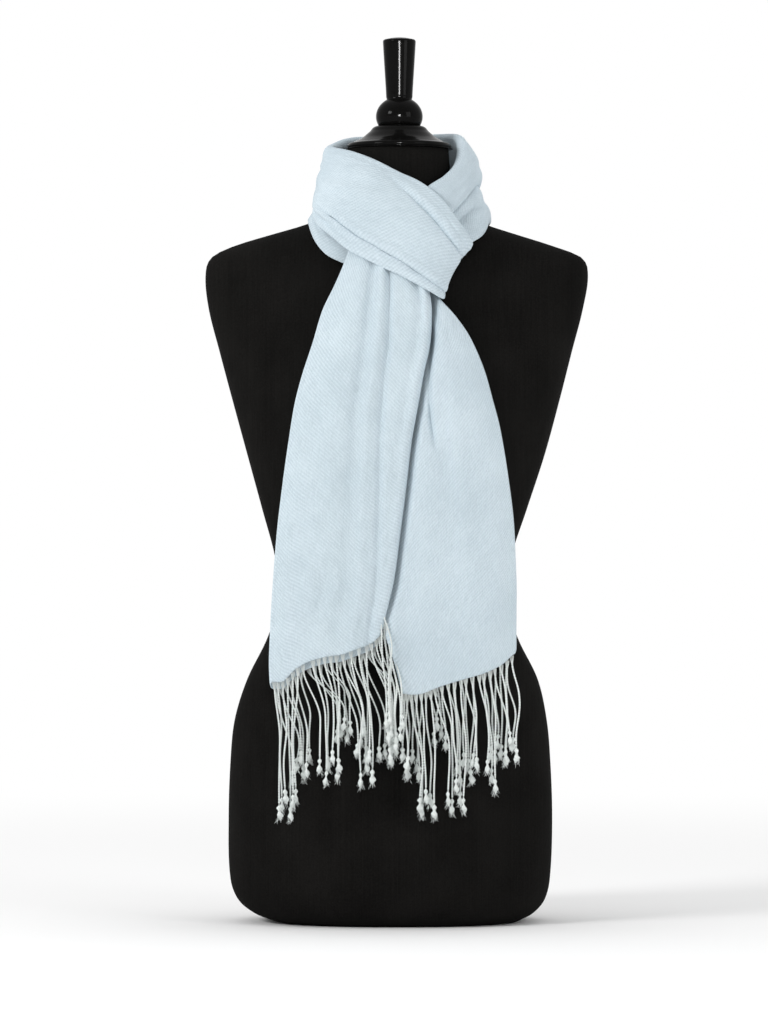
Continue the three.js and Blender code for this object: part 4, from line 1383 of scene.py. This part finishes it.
@dataclass
class Fringe:
    """The fringe of one leaf: loose warp threads, twisted cords, their knots and the tufts below them."""

    name: str
    tail: Tail
    leaf: Leaf
    bunches: tuple[Bunch, ...]
    seed: int
    loose: tuple[Loose, ...] = ()
    step: float = 3.5
    stagger_depth: float = 2.2
    stagger_drop: float = 9
    root_margin: float = 0.012
    ply_radius: float = 0.6
    twist_radius: float = 0.42
    pitch: float = 5.4
    cord_rings: int = 170
    cord_start: float = 0.55
    cord_tip: float = 14
    knot_radius: float = 2.1
    knot_place: float = 0.22
    knot_spread: float = 0.13
    knot_rings: int = 19
    knot_length: float = 17
    puff_radius: float = 2.8
    puff_spread: float = 0.22
    puff_play: float = 2.2
    tuft_length: float = 5
    tuft_heights: tuple[float, float] = (1, 7.5)
    tuft_lean: tuple[float, float] = (0.2, 1.1)
    tuft_threads: int = 26
    tuft_radii: tuple[float, ...] = (0.001, 0.22, 0.2, 0.17, 0.001)
    root_threads: int = 7
    root_length: float = 13
    root_spread: float = 1.9
    root_radii: tuple[float, ...] = (0.001, 0.3, 0.3, 0.3, 0.3, 0.28, 0.001)
    tip_play: tuple[float, float, float] = (1.2, 0.4, 3.5)

    def ends(self) -> tuple[Array, Array]:
        """Place every strand's root on the hem and its tip below it.

        In a bunch the roots are spread evenly over its stretch of the hem. The tips stand a fixed step apart,
        by turns nearer and farther and by turns lower and higher, so that the knots clear each other.

        Returns:
            Roots and tips in millimetres, strands by 3.
        """
        roots, tips = [], []
        side = self.tail.side()
        for bunch in self.bunches:
            k = np.arange(bunch.strands)
            share = np.linspace(0, 1, bunch.strands) if bunch.strands > 1 else np.array([0.5])
            width = self.leaf.width
            across = (bunch.start + (bunch.end - bunch.start) * share) * width
            across = np.clip(across, self.root_margin, width - self.root_margin)
            roots.append(self.tail.points(across, np.ones_like(across), self.leaf))
            x = bunch.x + side * ((bunch.strands - 1) / 2 - k) * self.step
            y = -self.leaf.hang + np.where(k % 2 == 1, self.stagger_depth, -self.stagger_depth)
            tips.append(np.stack([x, y, bunch.tip + self.stagger_drop * (k % 3)], axis=1))
        roots += [np.array([strand.root]) for strand in self.loose]
        tips += [np.array([strand.tip]) for strand in self.loose]
        return np.concatenate(roots), np.concatenate(tips)

    def cords(self, strands: Strands) -> list[tuple[Array, Indices]]:
        """Twist two plies round each strand's path, from below its root threads down to its knot."""
        length = strands.lengths
        phase = strands.rng.uniform(0, 6.28, len(length))
        share = np.linspace(0, 1, self.cord_rings)[None, :] ** 0.97 * (1 - self.knot_length / length)
        start = self.root_length * self.cord_start / length
        share = start + (1 - start) * share
        centre = strands.path(share)
        angle = 2 * np.pi * share * length / self.pitch + phase[:, None]
        ends = np.sin(np.pi * np.linspace(0, 1, self.cord_rings))
        radius = self.ply_radius * np.minimum(1, ends * self.cord_tip + 1e-6)
        made = []
        for ply in (0, np.pi):
            ring = np.stack([np.cos(angle + ply), np.sin(angle + ply), np.zeros_like(angle)], axis=-1)
            radii = np.broadcast_to(radius[None, :], share.shape)
            made.append(tubes(centre + ring * self.twist_radius, radii, 5))
        return made

    def root_fans(self, strands: Strands) -> tuple[Array, Indices]:
        """Run fine warp threads from the hem into each cord, fanned out at the hem and together below."""
        count, threads, rng = len(strands.roots), self.root_threads, strands.rng
        places = len(self.root_radii)
        share = np.linspace(-0.12, 1, places)[None, :] * self.root_length / strands.lengths
        centre = np.repeat(strands.path(share), threads, axis=0)
        spread = np.tile(np.linspace(-1, 1, threads), count) * self.root_spread
        spread = spread + rng.normal(0, 0.18, count * threads)
        together = (1 - smoothstep(np.linspace(0, 1, places), 0.1, 1))[None, :]
        centre[..., 0] += spread[:, None] * together
        centre[..., 1] += rng.normal(0, 0.22, count * threads)[:, None] * together
        radii = np.broadcast_to(self.root_radii, centre.shape[:2])
        return tubes(centre, radii, 3)

    def knots(self, strands: Strands) -> tuple[Array, Indices]:
        """Tie a lobed knot near each tip and let it open into a puff of loose wool below.

        The profile is a small bell for the knot and a wider, longer one for the puff, roughened by the lobes.
        """
        count, places, rng = len(strands.roots), self.knot_rings, strands.rng
        t = np.linspace(0, 1, places)[None, :]
        centre = strands.path(1 - (self.knot_length * (1 - t)) / strands.lengths)
        size = rng.uniform(0.8, 1.2, count)[:, None]
        puff = rng.uniform(0.62, 0.72, count)[:, None]
        knot = self.knot_radius * bell((t - self.knot_place) / self.knot_spread)
        profile = knot + self.puff_radius * bell((t - puff) / self.puff_spread)
        profile = profile * smoothstep(t, 0, 0.06) * smoothstep(1 - t, 0, 0.12) + 1e-3
        lobes = rng.uniform(0, 6.28, count)[:, None] + 7 * t + rng.uniform(-0.9, 0.9, (count, places))
        lean = rng.uniform(-self.puff_play, self.puff_play, (count, 1, 2))
        centre[..., :2] += lean * smoothstep(t, 0.25, 1.2)[..., None]
        shake = rng.uniform(-0.35, 0.35, (count, places, 2))
        centre[..., :2] += shake * smoothstep(t, 0.3, 0.6)[..., None]
        return tubes(centre, size * profile, 10, lobes)

    def tufts(self, strands: Strands) -> tuple[Array, Indices]:
        """Splay short curved threads below each knot."""
        count, threads, rng = len(strands.roots), self.tuft_threads, strands.rng
        heights = rng.uniform(*self.tuft_heights, (count, threads))
        foot = strands.path(1 - heights / strands.lengths).reshape(-1, 1, 3)
        t = np.linspace(0, 1, len(self.tuft_radii))[None, :, None]
        angle = rng.uniform(0, 2 * np.pi, count * threads)
        lean = rng.uniform(*self.tuft_lean, count * threads)
        reach = self.tuft_length * rng.uniform(0.6, 1.1, count * threads)[:, None, None]
        around = np.stack([np.cos(angle), np.sin(angle), np.zeros_like(angle)], axis=1)
        aim = unit(around * lean[:, None] - np.array([0, 0, 1]))
        curl = np.stack([-around[:, 1], around[:, 0], np.full_like(angle, -0.5)], axis=1)
        curl = curl * rng.uniform(-0.5, 0.5, (count * threads, 1))
        centre = foot + around[:, None] * 1.1 + aim[:, None] * reach * t + curl[:, None] * reach * t**2
        radii = np.broadcast_to(self.tuft_radii, centre.shape[:2])
        return tubes(centre, radii, 3)

    def build(self, finishes: Finishes) -> bpy.types.Object:
        """Build the whole fringe of the leaf as one piece.

        Args:
            finishes: the materials.

        Returns:
            The piece.
        """
        rng = np.random.default_rng(self.seed)
        roots, tips = self.ends()
        count = len(roots)
        sway = np.stack([rng.uniform(low, high, count) for low, high in SWAY_RANGES], axis=1)
        tips = tips + rng.uniform(-1, 1, (count, 3)) * self.tip_play
        strands = Strands(roots, tips, sway, rng)
        parts = self.cords(strands)
        parts += [part(strands) for part in (self.root_fans, self.knots, self.tufts)]
        starts = np.cumsum([0, *(len(points) for points, _ in parts)])[:-1]
        points = np.concatenate([points for points, _ in parts]) * MM
        quads = np.concatenate([quads + start for (_, quads), start in zip(parts, starts)])
        piece = mesh_object(self.name, points, quads)
        place(piece, Slot.FRINGE, finishes, self.name.replace("-", "_"))
        return piece


# How far the back leaf of a tail lies behind the front one, in millimetres
LEAF_GAP = 6


def front_leaf(hang: float) -> Leaf:
    """Give the front leaf of a tail whose strands hang at that depth."""
    return Leaf(Face.FRONT, 0, 0, 1, 1, hang)


def back_leaf(lift: float, width: float, hang: float) -> Leaf:
    """Give the back leaf of a tail, which takes half of the front one's folds."""
    return Leaf(Face.BACK, LEAF_GAP, lift, 0.5, width, hang)


@dataclass
class Shawl:
    """The whole shawl: two wraps round the neck, two tails and their four rows of fringe."""

    upper: Wrap = field(
        default_factory=lambda: Wrap(
            "wrap-upper",
            UPPER_ROWS,
            flat=(0.62, 0.115),
            steps=320,
            creases=UPPER_CREASES,
            ledge=Ledge(),
            tuck_steps=12,
            lining=2.1,
        )
    )
    lower: Wrap = field(
        default_factory=lambda: Wrap(
            "wrap-lower",
            LOWER_ROWS,
            flat=(0.5, 0.075),
            steps=260,
            creases=LOWER_CREASES,
        )
    )
    left: Tail = field(
        default_factory=lambda: Tail(
            "tail-left",
            LEFT_ROWS,
            LEFT_HEM,
            LEFT_FOLDS,
            edge_fall=12,
            front=front_leaf(134),
            back=back_leaf(-7, 0.955, 126),
            flat=(0.23, 0.41),
            creases=LEFT_CREASES,
            inner_fall=8,
        )
    )
    right: Tail = field(
        default_factory=lambda: Tail(
            "tail-right",
            RIGHT_ROWS,
            RIGHT_HEM,
            RIGHT_FOLDS,
            edge_fall=10,
            front=front_leaf(133),
            back=back_leaf(7, 1, 118),
            flat=(0.22, 0.43),
            creases=RIGHT_CREASES,
            cover=LEFT_ROWS,
        )
    )

    def fringes(self) -> list[Fringe]:
        """Give the four rows of fringe, with their bunches."""
        return [
            Fringe(
                "fringe-left-front",
                self.left,
                self.left.front,
                (
                    Bunch(0, 0.24, 6, -108, 111),
                    Bunch(0.26, 0.31, 1, -76, 158),
                    Bunch(0.38, 0.6, 5, -63, 147),
                    Bunch(0.66, 0.88, 4, -29, 146),
                    Bunch(0.92, 1, 3, -3, 167),
                ),
                11,
                (
                    Loose((-17, -132, 336), (-11, -138.5, 202)),
                    Loose((-15, -132, 327), (-6.5, -139, 206)),
                    Loose((-13, -131, 318), (-9, -137, 186)),
                    Loose((-10, -131.5, 306), (-5, -138, 193)),
                    Loose((-12, -131.5, 298), (-1, -137, 178)),
                    Loose((-8, -131.5, 300), (2.5, -138, 190)),
                    Loose((-6, -132, 292), (6, -137.5, 199)),
                ),
            ),
            Fringe(
                "fringe-left-back",
                self.left,
                self.left.back,
                (
                    Bunch(0.03, 0.28, 6, -94, 146),
                    Bunch(0.36, 0.58, 5, -52, 184),
                    Bunch(0.66, 0.8, 4, -34, 172),
                    Bunch(0.87, 1, 5, -9, 166),
                ),
                12,
            ),
            Fringe(
                "fringe-right-front",
                self.right,
                self.right.front,
                (
                    Bunch(0, 0.16, 4, 114, 167),
                    Bunch(0.2, 0.3, 3, 94, 136),
                    Bunch(0.36, 0.42, 2, 78, 155),
                    Bunch(0.46, 0.7, 5, 59, 116),
                    Bunch(0.74, 0.93, 5, 30, 110),
                    Bunch(0.96, 1, 2, 9, 160),
                ),
                13,
            ),
            Fringe(
                "fringe-right-back",
                self.right,
                self.right.back,
                (
                    Bunch(0.05, 0.28, 5, 101, 163),
                    Bunch(0.34, 0.58, 5, 68, 146),
                    Bunch(0.62, 0.78, 4, 44, 180),
                    Bunch(0.82, 1, 5, 17, 146),
                ),
                14,
            ),
        ]

    def build(self, finishes: Finishes) -> None:
        """Build every stretch, and the fringe that is on it.

        Args:
            finishes: the materials.
        """
        upper, lower = self.upper.build(finishes), self.lower.build(finishes)
        left, right = self.left.build(finishes), self.right.build(finishes)
        fringes = [fringe.build(finishes) for fringe in self.fringes()]


# The studio


@dataclass(frozen=True)
class Softbox:
    """A rectangular light that looks at the middle of the object."""

    name: str
    place: tuple[float, float, float]
    size: tuple[float, float]
    power: float
    gloss_only: bool = False


@dataclass
class Studio:
    """A plain pale floor, soft light and the photograph's camera."""

    aim: tuple[float, float, float] = (-0.01224, 0, 0.417)
    distance: float = 5.0
    lens: float = 172.3
    sensor: float = 36
    floor_size: float = 240
    paint_ends: tuple[float, float] = (0.5, 2.4)
    behind: float = 1.0
    before: float = 0.34
    light_aim: tuple[float, float, float] = (0, 0, 0.55)
    lights: tuple[Softbox, ...] = (
        Softbox("key", (-2.7, -2.3, 2.1), (1.0, 1.0), 72),
        Softbox("fill", (2.3, -2.2, 1.3), (1.2, 1.6), 24),
        Softbox("gloss", (0.03, -2.6, 0.85), (0.4, 0.5), 110, gloss_only=True),
    )

    def floor(self) -> bpy.types.Object:
        """Lay a pale floor under the object."""
        half = self.floor_size / 2
        corners = np.array([[-half, -half, 0], [half, -half, 0], [half, half, 0], [-half, half, 0]])
        mesh = bpy.data.meshes.new("floor")
        mesh.from_pydata(corners.tolist(), [], [(0, 1, 2, 3)])
        floor = bpy.data.objects.new("floor", mesh)
        bpy.context.scene.collection.objects.link(floor)
        mesh.materials.append(self.floor_material())
        return floor

    def floor_material(self) -> bpy.types.Material:
        """Make the floor's paint, which gives way to plain white light at a distance, so no horizon shows."""
        material = bpy.data.materials.new("pale floor")
        material.use_nodes = True
        nodes = Nodes(material.node_tree)
        where = nodes.add("ShaderNodeTexCoord")
        distance = nodes.add("ShaderNodeVectorMath", operation="LENGTH", inputs={0: where.outputs["Object"]})
        near, far = self.paint_ends
        away = nodes.add(
            "ShaderNodeMapRange",
            interpolation_type="SMOOTHSTEP",
            inputs={0: distance.outputs["Value"], 1: near, 2: far, 3: 0.0, 4: 1.0},
        )
        paint = nodes.add("ShaderNodeBsdfDiffuse", inputs={"Color": (0.93, 0.93, 0.93, 1)})
        light = nodes.add("ShaderNodeEmission", inputs={"Color": (1, 1, 1, 1), "Strength": self.behind})
        blend = {0: away.outputs[0], 1: paint.outputs[0], 2: light.outputs[0]}
        mixed = nodes.add("ShaderNodeMixShader", inputs=blend)
        nodes.add("ShaderNodeOutputMaterial", inputs={0: mixed.outputs[0]})
        return material

    def light(self, box: Softbox) -> None:
        """Hang a softbox and turn it to the object.

        Args:
            box: the softbox.
        """
        lamp = bpy.data.lights.new(box.name, "AREA")
        lamp.shape = "RECTANGLE"
        lamp.size, lamp.size_y = box.size
        lamp.energy = box.power
        hung = bpy.data.objects.new(box.name, lamp)
        hung.location = box.place
        hung.rotation_euler = (Vector(self.light_aim) - Vector(box.place)).to_track_quat("-Z", "Y").to_euler()
        hung.visible_diffuse = not box.gloss_only
        bpy.context.scene.collection.objects.link(hung)

    def camera(self) -> None:
        """Set up the photograph's level camera, far enough off for its flat perspective."""
        data = bpy.data.cameras.new("camera")
        data.lens, data.sensor_width = self.lens, self.sensor
        data.clip_end = 100
        camera = bpy.data.objects.new("camera", data)
        camera.location = Vector(self.aim) - Vector((0, self.distance, 0))
        camera.rotation_euler = (math.pi / 2, 0, 0)
        bpy.context.scene.collection.objects.link(camera)
        bpy.context.scene.camera = camera

    def surroundings(self) -> None:
        """Make the white surroundings, dimmer in front so that the lacquer and the folds keep their darks."""
        world = bpy.data.worlds.new("studio")
        world.use_nodes = True
        nodes = Nodes(world.node_tree)
        where = nodes.add("ShaderNodeTexCoord")
        parts = nodes.add("ShaderNodeSeparateXYZ", inputs={0: where.outputs["Generated"]})
        strength = nodes.add(
            "ShaderNodeMapRange",
            interpolation_type="SMOOTHSTEP",
            inputs={0: parts.outputs[1], 1: -0.75, 2: 0.0, 3: self.before, 4: self.behind},
        )
        background = nodes.add("ShaderNodeBackground", inputs={0: (1, 1, 1, 1), 1: strength.outputs[0]})
        nodes.add("ShaderNodeOutputWorld", inputs={0: background.outputs[0]})
        bpy.context.scene.world = world

    def build(self) -> None:
        """Set up the floor, the lights, the plain white surroundings and the camera."""
        self.floor()
        for box in self.lights:
            self.light(box)
        self.surroundings()
        bpy.context.scene.view_settings.view_transform = "Standard"
        self.camera()


def main() -> None:
    """Build the form, the shawl and the studio."""
    logging.basicConfig(level=logging.INFO, format="%(message)s")
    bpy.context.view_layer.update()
    finishes = Finishes()
    finishes.build()
    DressForm().build(finishes)
    Shawl().build(finishes)
    Studio().build()
    bpy.context.view_layer.update()


if __name__ == "__main__":
    main()
